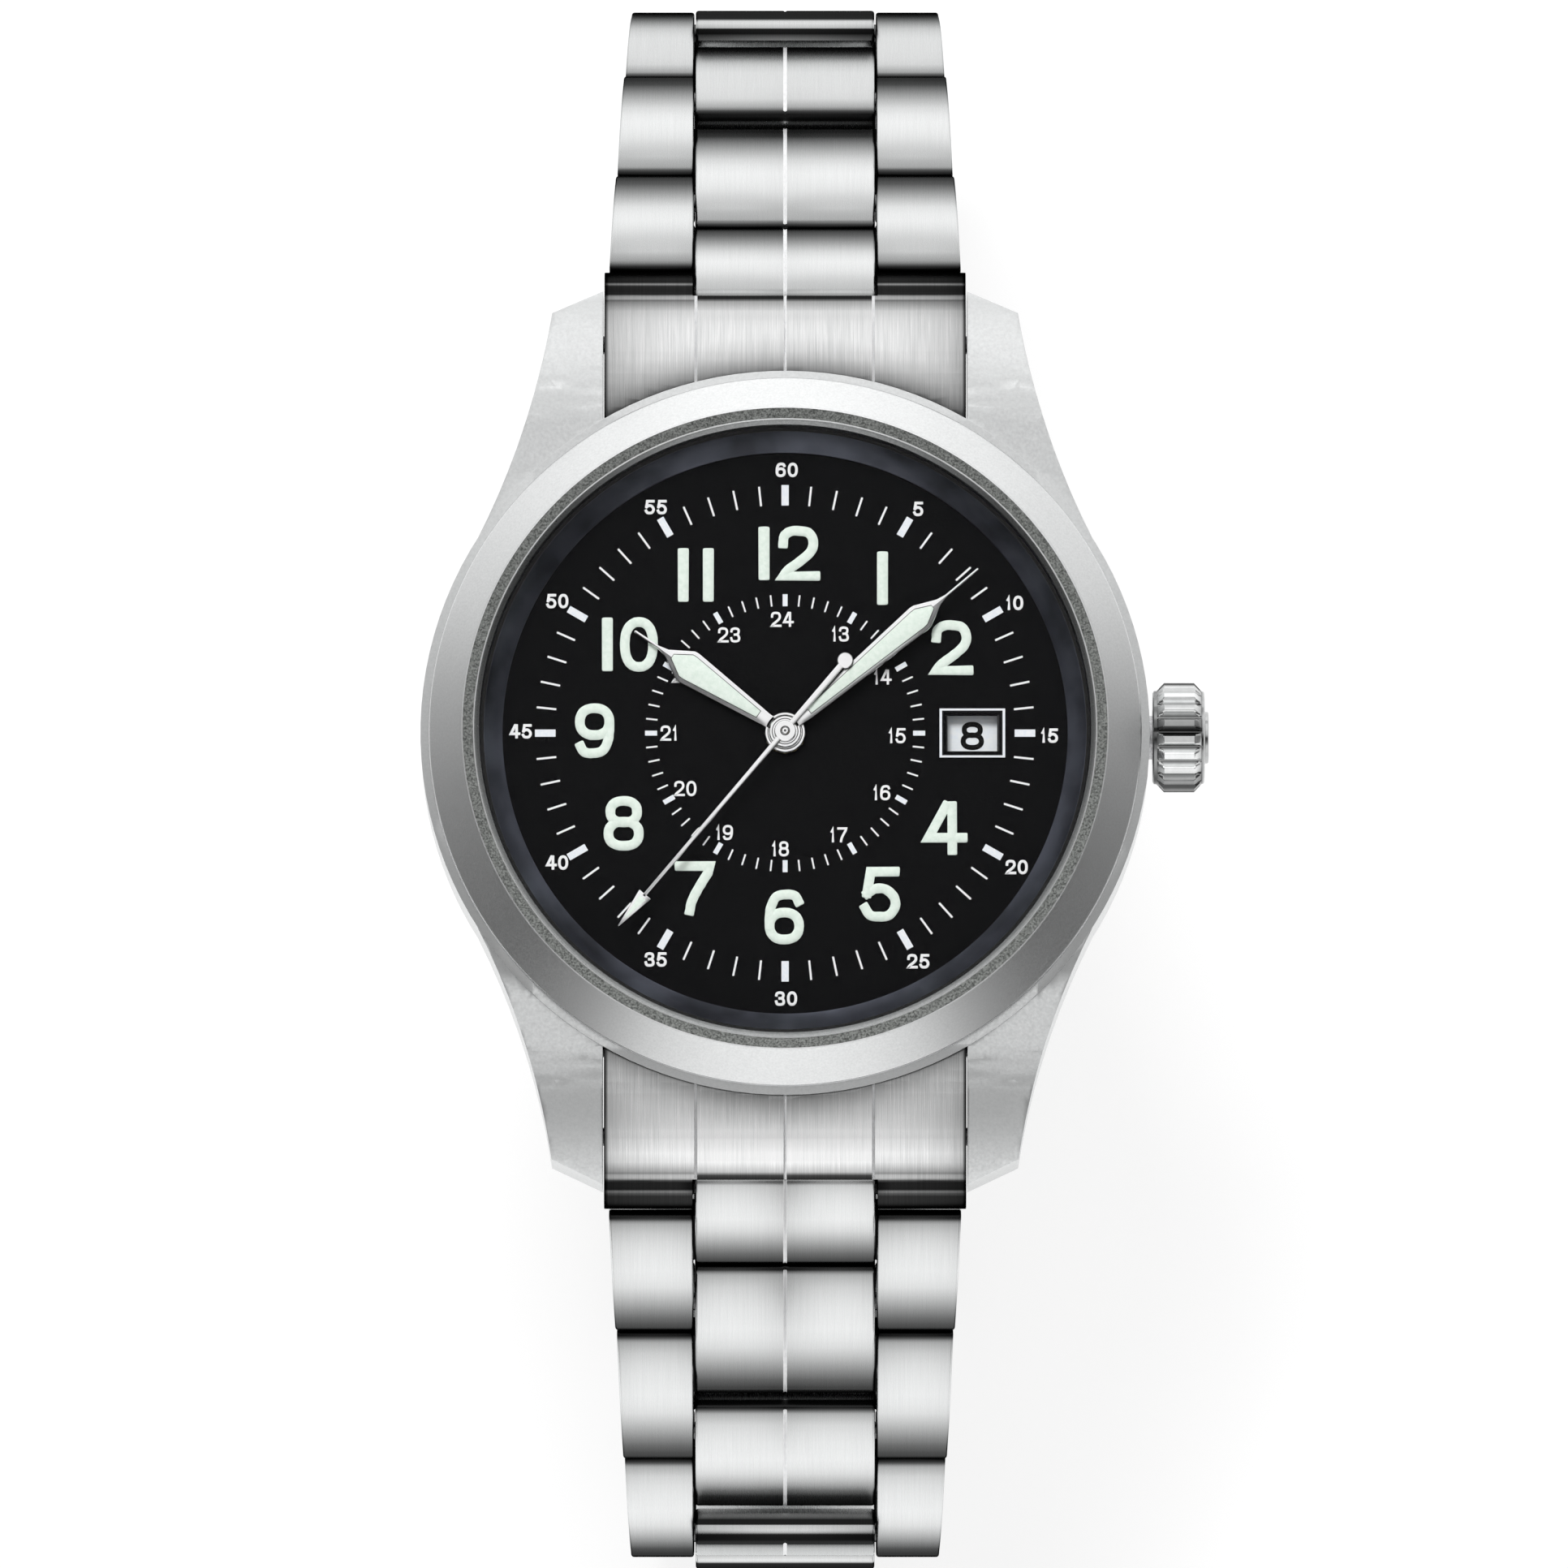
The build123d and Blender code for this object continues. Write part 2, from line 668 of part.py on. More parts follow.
# Hour wheel: its pipe runs on the cannon pinion and carries the hour hand
with BuildPart() as hour_wheel:
    with BuildSketch(gear_plane(0, 0, hour_gear_bottom, motion_angle + 180 / hour_wheel_teeth)):
        gear_outline(motion_centre_distance * (1 - pinion_share), hour_wheel_teeth, pinion_module)
    extrude(amount=hour_gear_top - hour_gear_bottom)
    with BuildSketch(Plane.XY.offset(level(hour_gear_bottom))):
        pin_outline(hour_pipe_radius)
    extrude(amount=hour_hand_top - hour_gear_bottom)
    with BuildSketch(Plane.XY.offset(level(hour_gear_bottom))):
        bore_outline(cannon_radius + running_fit, mode=Mode.ADD)
    extrude(amount=hour_hand_top - hour_gear_bottom, mode=Mode.SUBTRACT)
hour_wheel.part.label = "hour_wheel"
export_step(hour_wheel.part, "parts/hour_wheel.step")

# Seconds pinion in the bridge, with the long arbor that carries the seconds hand
with BuildPart() as seconds_pinion:
    with BuildSketch(Plane.XY.offset(level(seconds_arbor_bottom))):
        pin_outline(seconds_arbor_radius)
    extrude(amount=seconds_hand_bottom - seconds_arbor_bottom)
    with BuildSketch(Plane.XY.offset(level(seconds_pinion_bottom))):
        pin_outline(seconds_pinion_radius)
    extrude(amount=plate_bottom - seconds_pinion_bottom - running_fit)
seconds_pinion.part.label = "seconds_pinion"
export_step(seconds_pinion.part, "parts/seconds_pinion.step")


def hand_plane(angle, height):
    """A plane at a height whose local +Y points at an angle clockwise from 12 o'clock."""
    return Plane.XY.offset(level(height)).rotated((0, 0, -angle))


def blade_outline(*points):
    """Draws a hand's blade, alike on both sides, from (half width, distance) points."""
    other_side = [(-half, distance) for half, distance in reversed(points)]
    Polygon(*points, *other_side, align=None)


# Hour hand
with BuildPart() as hour_hand:
    with BuildSketch(hand_plane(hour_hand_angle, hour_hand_bottom)):
        blade_outline(
            (hour_neck_half, 0),
            (hour_neck_half, hand_neck_length),
            (hour_blade_half, hour_blade_length),
            (hour_shoulder_half, hour_shoulder_length),
            (hour_tip_half, hour_length),
        )
        Circle(hour_hub_radius)
    extrude(amount=hour_hand_top - hour_hand_bottom)
    with BuildSketch(Plane.XY.offset(level(hour_hand_bottom))):
        pin_outline(hour_pipe_radius)
    extrude(amount=hour_hand_top - hour_hand_bottom, mode=Mode.SUBTRACT)
hour_hand.part.label = "hour_hand"
export_step(hour_hand.part, "parts/hour_hand.step")

# Minute hand
with BuildPart() as minute_hand:
    with BuildSketch(hand_plane(minute_hand_angle, minute_hand_bottom)):
        blade_outline(
            (minute_neck_half, 0),
            (minute_neck_half, hand_neck_length),
            (minute_blade_half, minute_blade_length),
            (minute_shoulder_half, minute_shoulder_length),
            (minute_tip_half, minute_length),
        )
        Circle(minute_hub_radius)
    extrude(amount=minute_hand_top - minute_hand_bottom)
    with BuildSketch(Plane.XY.offset(level(minute_hand_bottom))):
        pin_outline(cannon_radius)
    extrude(amount=minute_hand_top - minute_hand_bottom, mode=Mode.SUBTRACT)
minute_hand.part.label = "minute_hand"
export_step(minute_hand.part, "parts/minute_hand.step")

# Seconds hand: needle with an arrow tip and a round counterweight
with BuildPart() as seconds_hand:
    with BuildSketch(hand_plane(seconds_hand_angle, seconds_hand_bottom)):
        with Locations((0, (seconds_arrow_base - seconds_tail) / 2)):
            Rectangle(2 * seconds_needle_half, seconds_arrow_base + seconds_tail)
        with BuildLine():
            Polyline(
                (-seconds_arrow_half, seconds_arrow_base),
                (seconds_arrow_half, seconds_arrow_base),
                (0, seconds_length),
                close=True,
            )
        make_face()
        with Locations((0, -seconds_tail)):
            Circle(seconds_tail_radius)
        Circle(seconds_hub_radius)
    extrude(amount=seconds_hand_top - seconds_hand_bottom)
seconds_hand.part.label = "seconds_hand"
export_step(seconds_hand.part, "parts/seconds_hand.step")

# Crown tube, pressed in the case
with BuildPart() as crown_tube:
    with BuildSketch(Plane.YZ.offset(bore_radius)):
        with Locations((0, crown_z)):
            Circle(tube_radius)
            bore_outline(tube_bore)
    extrude(amount=tube_end - bore_radius)
crown_tube.part.label = "crown_tube"
export_step(crown_tube.part, "parts/crown_tube.step")

# Crown: fluted rim with a chamfered end, hollow over the tube
crown_end = crown_start + crown_length
crown_axis = Axis((0, 0, crown_z), (1, 0, 0))
flute_points = []
for corner in range(2 * flute_count):
    radius = crown_radius if corner % 2 else crown_radius - flute_depth
    angle = radians(180 * corner / flute_count)
    flute_points.append((radius * cos(angle), radius * sin(angle)))
with BuildPart() as crown:
    with BuildSketch(
        Plane(origin=(crown_start, 0, crown_z), x_dir=(0, 1, 0), z_dir=(1, 0, 0))
    ):
        with BuildLine():
            Polyline(*flute_points, close=True)
        make_face()
    extrude(amount=crown_length)
    with BuildSketch(Plane.XZ):
        with BuildLine():
            Polyline(
                (crown_start, crown_z),
                (crown_start, crown_z + crown_radius),
                (crown_end - crown_chamfer, crown_z + crown_radius),
                (crown_end, crown_z + crown_radius - crown_chamfer),
                (crown_end, crown_z),
                close=True,
            )
        make_face()
    revolve(axis=crown_axis, mode=Mode.INTERSECT)
    with BuildSketch(Plane.YZ.offset(crown_start)):
        with Locations((0, crown_z)):
            Circle(crown_cavity_radius)
    extrude(amount=crown_cavity_depth, mode=Mode.SUBTRACT)
crown.part.label = "crown"
export_step(crown.part, "parts/crown.step")

# Rubber ring inside the crown, sliding on the tube
with BuildPart() as crown_gasket:
    with BuildSketch(Plane.YZ.offset(o_ring_start)):
        with Locations((0, crown_z)):
            pin_outline(crown_cavity_radius - running_fit)
            bore_outline(tube_radius + running_fit)
    extrude(amount=o_ring_width)
crown_gasket.part.label = "crown_gasket"
export_step(crown_gasket.part, "parts/crown_gasket.step")

# Winding stem
with BuildPart() as winding_stem:
    with BuildSketch(Plane.YZ.offset(stem_inner_end + stem_radius)):
        with Locations((0, crown_z)):
            pin_outline(stem_radius)
    extrude(amount=crown_start + crown_cavity_depth - stem_inner_end - stem_radius)
winding_stem.part.label = "winding_stem"
export_step(winding_stem.part, "parts/winding_stem.step")

half_widths = [
    last_half_width
    + (first_half_width - last_half_width) * max(0, 1 - place / narrowing_link_count)
    for place in range(link_count + 1)
]


def link_end(tip, inward, radius, top):
    """Points from the underside to the top of a link's end, inside the circle it turns in."""
    if radius == 0:
        return [(tip, -half_thickness), (tip, top)]
    heights = (-half_thickness, -half_thickness * end_flat_share, top)
    return [(tip + inward * (radius - (radius**2 - z**2) ** 0.5), z) for z in heights]


def link_outline(start, end, start_radius, end_radius):
    """Draws a link's section: a flat underside and a curved top in a few flats."""
    middle = (start + end) / 2
    end_top = half_thickness - top_curve_radius * (1 - cos((end - middle) / top_curve_radius))
    front = link_end(start, 1, start_radius, end_top)
    rear = link_end(end, -1, end_radius, end_top)
    first_x, last_x = front[-1][0], rear[-1][0]
    top = []
    for flat in range(1, top_flats):
        x = first_x + (last_x - first_x) * flat / top_flats
        top.append((x, half_thickness - (x - middle) ** 2 / (2 * top_curve_radius)))
    Polygon(*front, *top, *reversed(rear), align=None)


for side, side_name in ((1, "top"), (-1, "bottom")):
    hinge = (side * first_hinge_y, hinge_z[0])
    bar = (side * bar_y, level(bar_rise))

    # End link between the lugs: two ears with a hinge pin between them
    cut_radius = short_end + end_gap
    relief_y = cut_radius * cos(radians(relief_angle))
    end_link_root = (side * end_link_inner_y, level(end_link_under))
    end_link_top = (side * end_link_inner_y, level(end_link_top_root))
    with BuildPart() as end_link:
        with BuildSketch(Plane.YZ):
            with BuildLine():
                Line(end_link_root, (hinge[0], hinge[1] - short_end))
                Line((hinge[0], hinge[1] - short_end), (hinge[0], hinge[1] + short_end))
                ThreePointArc(
                    (hinge[0], hinge[1] + short_end),
                    (side * end_link_top_mid_y, level(end_link_top_mid)),
                    end_link_top,
                )
                Line(end_link_top, end_link_root)
            make_face()
            with Locations(hinge):
                Circle(short_end)
        extrude(amount=end_link_half_width, both=True)
        with BuildSketch(Plane.YZ):
            with Locations(hinge):
                Circle(cut_radius)
            with Locations((hinge[0] + side * cut_radius, hinge[1])):
                Rectangle(2 * cut_radius, link_thickness + 2 * cut_radius)
            with Locations((hinge[0] - side * relief_y / 2, hinge[1] - cut_radius)):
                Rectangle(relief_y, 2 * cut_radius * (1 - sin(radians(relief_angle))))
        extrude(amount=centre_half_width + bar_gap, both=True, mode=Mode.SUBTRACT)
        with BuildSketch(Plane.YZ):
            with Locations(hinge):
                pin_outline(pin_radius)
        extrude(amount=centre_half_width + bar_gap, both=True)
        with BuildSketch(Plane.XY.offset(level(lug_tip_bottom))):
            Circle(case_radius)
        extrude(amount=band_height - lug_tip_bottom, mode=Mode.SUBTRACT)
        with BuildSketch(Plane.YZ):
            with Locations(bar):
                pin_outline(bar_radius)
        extrude(amount=end_link_half_width, both=True, mode=Mode.SUBTRACT)
    end_link.part.label = "end_link_" + side_name
    export_step(end_link.part, "parts/end_link_" + side_name + ".step")

    # Spring bar through the end link, its tips in the lugs
    with BuildPart() as spring_bar:
        with BuildSketch(Plane.YZ):
            with Locations(bar):
                pin_outline(bar_radius)
        extrude(amount=bar_tip_reach, both=True)
    spring_bar.part.label = "spring_bar_" + side_name
    export_step(spring_bar.part, "parts/spring_bar_" + side_name + ".step")

    # Links: a centre piece and two outer bars half a pitch behind it, in one piece.
    # Each link's pin lies between its bars' tails, in the next piece's nose.
    for index in range(link_count):
        is_last = index == link_count - 1
        length = pitches[index]
        slope = radians(link_slopes[index])
        along = (0, side * cos(slope), -sin(slope))
        link_plane = Plane(
            origin=(0, side * hinge_y[index], hinge_z[index]), x_dir=along, z_dir=(side, 0, 0)
        )
        nose = short_end if index == 0 else long_end
        tail = short_end if is_last else long_end
        bar_front = nose + end_gap
        centre_rear = length - tail - (clasp_end_gap if is_last else end_gap)
        tail_end = length + tail
        width = half_widths[index]
        next_width = half_widths[index + 1]
        with BuildPart() as link:
            # Outer bars
            with BuildSketch(link_plane):
                link_outline(bar_front, tail_end, 0, tail)
            extrude(amount=width, both=True)
            with BuildSketch(link_plane):
                with Locations((length / 2, 0)):
                    Rectangle(length + 2 * tail_end, link_thickness + cut_margin)
            extrude(amount=centre_half_width + bar_gap, both=True, mode=Mode.SUBTRACT)
            if width > next_width:
                side_plane = Plane(origin=link_plane.origin, x_dir=along, z_dir=link_plane.y_dir)
                with BuildSketch(side_plane.offset(-link_thickness)):
                    with BuildLine():
                        Polyline(
                            (0, width),
                            (tail_end, next_width),
                            (tail_end, width + cut_margin),
                            (0, width + cut_margin),
                            close=True,
                        )
                    make_face()
                    mirror(about=Plane.XZ)
                extrude(amount=2 * link_thickness, mode=Mode.SUBTRACT)
            # Centre piece, with a bore in its nose
            with BuildSketch(link_plane):
                link_outline(-nose, centre_rear, nose, 0)
                bore_outline(pin_radius + running_fit)
            extrude(amount=centre_half_width, both=True)
            # Web that joins the bars to the centre piece
            with BuildSketch(link_plane):
                with Locations(((bar_front + centre_rear) / 2, 0)):
                    Rectangle(centre_rear - bar_front - 2 * end_gap, link_thickness - 2 * bar_gap)
            extrude(amount=centre_half_width + bar_gap, both=True)
            # Rear pin, or the holes for a spring bar's tips where the clasp's cover comes off
            with BuildSketch(link_plane):
                with Locations((length, 0)):
                    pin_outline(pin_radius)
            if is_last and side_name == "top":
                extrude(
                    amount=centre_half_width + bar_gap + bar_hole_depth,
                    both=True,
                    mode=Mode.SUBTRACT,
                )
            else:
                extrude(amount=centre_half_width + bar_gap, both=True)
        link_name = "link_" + side_name + "_" + str(index + 1)
        link.part.label = link_name
        export_step(link.part, "parts/" + link_name + ".step")

# Clasp cover: a channel under the blades, with a nose between the last link's tails.
# Its front is round about the fold, so that it swings clear of those tails.
cover_hinge = (cover_hinge_inset - clasp_y, cover_hinge_height)
fold_hinge = (clasp_y - fold_hinge_inset, fold_hinge_height)
clasp_hinge = (clasp_y, clasp_hinge_height)
cover_length = fold_hinge[0] - cover_hinge[0]
cover_middle_y = (fold_hinge[0] + cover_hinge[0]) / 2
with BuildPart() as clasp_cover:
    with BuildSketch(Plane.YZ):
        with Locations((cover_middle_y, wall_height / 2)):
            Rectangle(cover_length, wall_height)
        with Locations(cover_hinge):
            Circle(cover_tail_radius)
        with Locations(fold_hinge):
            Circle(cover_front_radius)
        with Locations((cover_middle_y, wall_height / 2)):
            Rectangle(2 * cover_length, wall_height, mode=Mode.INTERSECT)
    extrude(amount=cover_half_width, both=True)
    with BuildSketch(Plane.YZ):
        with Locations((cover_middle_y, cover_thickness + wall_height / 2)):
            Rectangle(2 * cover_length, wall_height)
        with Locations((cover_hinge[0] - cover_tail_radius, wall_height / 2)):
            Rectangle(2 * cover_tail_radius, wall_height)
    extrude(amount=cover_half_width - wall_thickness, both=True, mode=Mode.SUBTRACT)
    with BuildSketch(Plane.YZ):
        with Locations(clasp_hinge):
            Circle(short_end)
        with Locations((clasp_y - nose_neck_length / 2, (nose_neck_bottom + nose_neck_top) / 2)):
            Rectangle(nose_neck_length, nose_neck_top - nose_neck_bottom)
        with Locations((clasp_y - fold_hinge_inset / 2, (nose_arm_bottom + nose_arm_top) / 2)):
            Rectangle(fold_hinge_inset, nose_arm_top - nose_arm_bottom)
        with Locations(clasp_hinge):
            pin_outline(pin_radius, mode=Mode.SUBTRACT)
    extrude(amount=centre_half_width, both=True)
    with BuildSketch(Plane.YZ):
        with Locations(cover_hinge):
            pin_outline(blade_pin_radius)
    extrude(amount=cover_half_width, both=True, mode=Mode.SUBTRACT)
    with BuildSketch(Plane.YZ):
        with Locations((0, button_bottom + button_height / 2)):
            Rectangle(button_length + 2 * button_fit, button_height + 2 * button_fit)
    extrude(amount=cover_half_width, both=True, mode=Mode.SUBTRACT)
clasp_cover.part.label = "clasp_cover"
export_step(clasp_cover.part, "parts/clasp_cover.step")

# Spring bar in the cover's nose, its tips drawn in
with BuildPart() as clasp_bar:
    with BuildSketch(Plane.YZ):
        with Locations(clasp_hinge):
            pin_outline(pin_radius)
    extrude(amount=centre_half_width, both=True)
clasp_bar.part.label = "clasp_bar"
export_step(clasp_bar.part, "parts/clasp_bar.step")

# Pin that hinges the first blade in the cover's walls
with BuildPart() as cover_pin:
    with BuildSketch(Plane.YZ):
        with Locations(cover_hinge):
            pin_outline(blade_pin_radius)
    extrude(amount=cover_half_width, both=True)
cover_pin.part.label = "cover_pin"
export_step(cover_pin.part, "parts/cover_pin.step")

# First blade, from the cover's hinge to the fold
fold_cut_y = fold_hinge[0] - knuckle_radius - knuckle_gap
with BuildPart() as clasp_blade_a:
    with BuildSketch(Plane.YZ):
        with Locations(((fold_cut_y + cover_hinge[0]) / 2, blade_a_bottom + blade_thickness / 2)):
            Rectangle(fold_cut_y - cover_hinge[0], blade_thickness)
        with Locations(cover_hinge):
            Circle(knuckle_radius)
    extrude(amount=blade_half_width, both=True)
    with BuildSketch(Plane.YZ):
        with Locations(fold_hinge):
            Circle(knuckle_radius)
        with Locations((fold_hinge[0] - knuckle_radius, blade_a_bottom + blade_thickness / 2)):
            Rectangle(2 * knuckle_radius, blade_thickness)
    extrude(amount=fold_knuckle_half, both=True)
    with BuildSketch(Plane.YZ):
        with Locations(cover_hinge, fold_hinge):
            bore_outline(blade_pin_radius + running_fit, mode=Mode.ADD)
    extrude(amount=blade_half_width, both=True, mode=Mode.SUBTRACT)
clasp_blade_a.part.label = "clasp_blade_a"
export_step(clasp_blade_a.part, "parts/clasp_blade_a.step")

# Second blade, from the fold to the bracelet's other end
blade_b_end = blade_b_end_inset - clasp_y
blade_b_top = blade_b_bottom + blade_thickness
with BuildPart() as clasp_blade_b:
    with BuildSketch(Plane.YZ):
        with Locations(((fold_hinge[0] + blade_b_end) / 2, blade_b_bottom + blade_thickness / 2)):
            Rectangle(fold_hinge[0] - blade_b_end, blade_thickness)
        with Locations(fold_hinge):
            Circle(knuckle_radius)
    extrude(amount=blade_half_width, both=True)
    with BuildSketch(Plane.YZ):
        with Locations(fold_hinge):
            Rectangle(2 * (knuckle_radius + knuckle_gap), 2 * (knuckle_radius + blade_thickness))
    extrude(amount=fold_knuckle_half + knuckle_gap, both=True, mode=Mode.SUBTRACT)
    with BuildSketch(Plane.YZ):
        with BuildLine():
            Polyline(
                (-clasp_y, clasp_hinge_height + short_end),
                (blade_b_end - blade_b_slope_length, blade_b_top),
                (blade_b_end, blade_b_top),
                (blade_b_end, blade_b_bottom),
                (arm_shoulder_inset - clasp_y, arm_shoulder_height),
                (-clasp_y, clasp_hinge_height),
                close=True,
            )
        make_face()
        with Locations((-clasp_y, clasp_hinge_height)):
            Circle(short_end)
            bore_outline(pin_radius + running_fit)
    extrude(amount=centre_half_width, both=True)
    with BuildSketch(Plane.YZ):
        with Locations(fold_hinge):
            pin_outline(blade_pin_radius)
    extrude(amount=blade_half_width, both=True, mode=Mode.SUBTRACT)
clasp_blade_b.part.label = "clasp_blade_b"
export_step(clasp_blade_b.part, "parts/clasp_blade_b.step")

# Pin of the fold, fixed in the second blade's knuckles
with BuildPart() as fold_pin:
    with BuildSketch(Plane.YZ):
        with Locations(fold_hinge):
            pin_outline(blade_pin_radius)
    extrude(amount=blade_half_width, both=True)
fold_pin.part.label = "fold_pin"
export_step(fold_pin.part, "parts/fold_pin.step")

# Push buttons in the cover's two walls
for side, side_name in ((1, "right"), (-1, "left")):
    with BuildPart() as button:
        with BuildSketch(Plane.YZ.offset(side * button_inner_x)):
            with Locations((0, button_bottom + button_height / 2)):
                Rectangle(button_length, button_height)
        extrude(amount=side * (button_outer_x - button_inner_x))
    button.part.label = "button_" + side_name
    export_step(button.part, "parts/button_" + side_name + ".step")
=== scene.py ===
"""Looks for the hand-wound field watch: detailed pieces, materials, light and camera."""
import math

import bmesh
import bpy
from mathutils import Matrix, Vector, noise

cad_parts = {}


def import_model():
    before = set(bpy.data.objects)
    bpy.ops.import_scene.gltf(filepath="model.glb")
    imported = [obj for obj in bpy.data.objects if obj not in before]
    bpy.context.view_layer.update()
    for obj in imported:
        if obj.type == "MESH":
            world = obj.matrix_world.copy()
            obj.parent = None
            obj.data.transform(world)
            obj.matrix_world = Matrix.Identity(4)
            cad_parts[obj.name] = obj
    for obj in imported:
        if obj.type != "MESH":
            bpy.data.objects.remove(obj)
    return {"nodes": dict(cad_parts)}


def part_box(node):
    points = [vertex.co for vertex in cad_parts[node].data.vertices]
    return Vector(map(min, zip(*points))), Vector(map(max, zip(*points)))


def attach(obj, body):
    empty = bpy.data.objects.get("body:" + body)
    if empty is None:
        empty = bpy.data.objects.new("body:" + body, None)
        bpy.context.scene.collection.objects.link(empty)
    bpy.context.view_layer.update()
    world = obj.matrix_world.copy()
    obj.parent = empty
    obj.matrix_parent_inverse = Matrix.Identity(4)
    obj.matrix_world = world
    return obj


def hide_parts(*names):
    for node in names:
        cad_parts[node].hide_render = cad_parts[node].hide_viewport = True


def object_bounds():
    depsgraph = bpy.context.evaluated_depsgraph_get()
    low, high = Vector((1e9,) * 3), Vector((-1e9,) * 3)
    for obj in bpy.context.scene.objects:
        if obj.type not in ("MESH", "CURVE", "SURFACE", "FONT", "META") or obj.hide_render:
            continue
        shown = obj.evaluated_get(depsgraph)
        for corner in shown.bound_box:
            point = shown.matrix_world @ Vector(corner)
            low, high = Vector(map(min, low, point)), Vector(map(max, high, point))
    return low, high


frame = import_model()
cad_low, cad_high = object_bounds()

# Millimetres throughout, turned to metres where a mesh is made.
# Heights of the head are over the underside of the middle case.
MM = 0.001
DIAL_BOTTOM, DIAL_TOP = 4.6, 5.0
CAMERA_PIVOT_HEIGHT = 6
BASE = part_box("dial")[0].z / MM - DIAL_BOTTOM
DIAL = BASE + DIAL_TOP

# The bracelet's hinges as (distance from the hands' axis, height over the floor), from the
# lugs to the clasp. Each link has a half width at each of its hinges, a slope and a length.
HINGES = [
    (24.6, 38.977), (30.46, 34.059), (36.969, 27.99), (41.817, 20.525),
    (40.886, 11.674), (34.931, 5.06), (26.42, 2.458), (18.439, 1.9),
]
HALF_WIDTHS = [9.74, 9.327, 8.913, 8.5, 8.5, 8.5, 8.5, 8.5]
SLOPES = [40, 43, 57, 96, 132, 163, 176]
LENGTHS = [7.65, 8.9, 8.9, 8.9, 8.9, 8.9, 8.0]
LINK_HALF_THICKNESS = 1.3
CENTRE_HALF_WIDTH = 4.95
BAR_GAP = 0.08
SHORT_END, LONG_NOSE, LONG_TAIL = 1.3, 2.8, 1.6
PIN_RADIUS = 0.5

# Vertices carry painted shade and painted reflections as a value of this name, and shaded materials multiply their
# colour by it
SHADE = "shade"
SAME_POINT = 1e-7


# ---------------------------------------------------------------- materials
def feed(made, socket, value):
    """Gives a socket a number or a colour, or links another node's output to it."""
    if isinstance(value, bpy.types.NodeSocket):
        made.node_tree.links.new(value, socket)
    else:
        socket.default_value = (*value, 1) if socket.type == "RGBA" else value


def node(made, kind, **values):
    """Adds a node to a material or world. Values are its properties, or else its inputs."""
    found = made.node_tree.nodes.new(kind)
    for key, value in values.items():
        if hasattr(found, key):
            setattr(found, key, value)
        else:
            feed(made, found.inputs[key.replace("_", " ")], value)
    return found


def wire(made, **values):
    """Feeds inputs of a material's shader."""
    for key, value in values.items():
        feed(made, made.node_tree.nodes["Principled BSDF"].inputs[key.replace("_", " ")], value)


def material(name, color, metallic, roughness, **values):
    made = bpy.data.materials.new(name)
    made.use_nodes = True
    wire(made, Base_Color=color, Metallic=metallic, Roughness=roughness, **values)
    return made


def maths(made, operation, *values):
    found = node(made, "ShaderNodeMath", operation=operation)
    for socket, value in zip(found.inputs, values):
        feed(made, socket, value)
    return found.outputs[0]


def place(made, scale):
    """Object coordinates, stretched: scale is in repeats per millimetre along X, Y and Z."""
    coordinates = node(made, "ShaderNodeTexCoord").outputs["Object"]
    mapping = node(made, "ShaderNodeMapping", Scale=[s / MM for s in scale], Vector=coordinates)
    return mapping.outputs["Vector"]


def grain(made, scale, detail=3.0, roughness=0.6):
    """Noise at a scale in repeats per millimetre."""
    texture = node(
        made, "ShaderNodeTexNoise", Vector=place(made, scale), Scale=1, Detail=detail, Roughness=roughness
    )
    return texture.outputs["Fac"]


def spread(made, value, to_low, to_high, low=0.3, high=0.7):
    """Maps a value from one range, at first that of a noise, to another, and holds it there."""
    mapped = node(
        made, "ShaderNodeMapRange", From_Min=low, From_Max=high, To_Min=to_low, To_Max=to_high, Value=value
    )
    return mapped.outputs["Result"]


def mix(made, first, second, factor=1, blend="MIX"):
    """Mixes two colours by a factor, or multiplies them."""
    mixed = node(
        made, "ShaderNodeMix", data_type="RGBA", blend_type=blend, A=first, B=second, Factor=factor
    )
    return mixed.outputs["Result"]


def shade_factor(made, color):
    """Multiplies a colour by the mesh's painted shade values: painted shade in the gaps between pieces, painted
    reflections on their tops.
    """
    shade = node(made, "ShaderNodeAttribute", attribute_name=SHADE)
    return mix(made, color, shade.outputs["Color"], blend="MULTIPLY")


def bump(made, height, strength, distance=0.02):
    """Roughens a surface by a height map; distance is in millimetres."""
    bumps = node(made, "ShaderNodeBump", Strength=strength, Distance=distance * MM, Height=height)
    wire(made, Normal=bumps.outputs["Normal"])


def brushed(name, dark, light, roughness, scale, strength, shaded=False, anisotropic=0.0, sheen=0.2):
    """Metal with streaks. sheen is the share by which its roughness varies."""
    made = material(name, light, 1.0, roughness, Anisotropic=anisotropic)
    streaks = grain(made, scale, 4.0, 0.65)
    color = mix(made, dark, light, spread(made, streaks, 0, 1))
    # shaded: the colour and the edge tint are multiplied by the painted shade and painted reflections
    if shaded:
        color = shade_factor(made, color)
        wire(made, Specular_Tint=color)
    rough = spread(made, streaks, roughness * (1 + sheen), roughness * (1 - sheen))
    wire(made, Base_Color=color, Roughness=rough)
    bump(made, streaks, strength, 0.01)
    return made


def satin(name, dark, light, roughness, size=6.0, strength=0.2, shaded=False):
    """Metal with a fine, even grain without direction, over faint clouds."""
    made = material(name, light, 1.0, roughness)
    specks = grain(made, (size, size, size), 2.0, 0.7)
    clouds = grain(made, (0.12, 0.12, 0.12), 2.0, 0.5)
    factor = maths(made, "ADD", spread(made, specks, 0, 0.7), spread(made, clouds, 0, 0.3))
    color = mix(made, dark, light, factor)
    # shaded: the colour is multiplied by the painted shade and painted reflections
    if shaded:
        color = shade_factor(made, color)
    wire(made, Base_Color=color, Roughness=spread(made, specks, roughness * 1.15, roughness * 0.85))
    bump(made, specks, strength, 0.01)
    return made


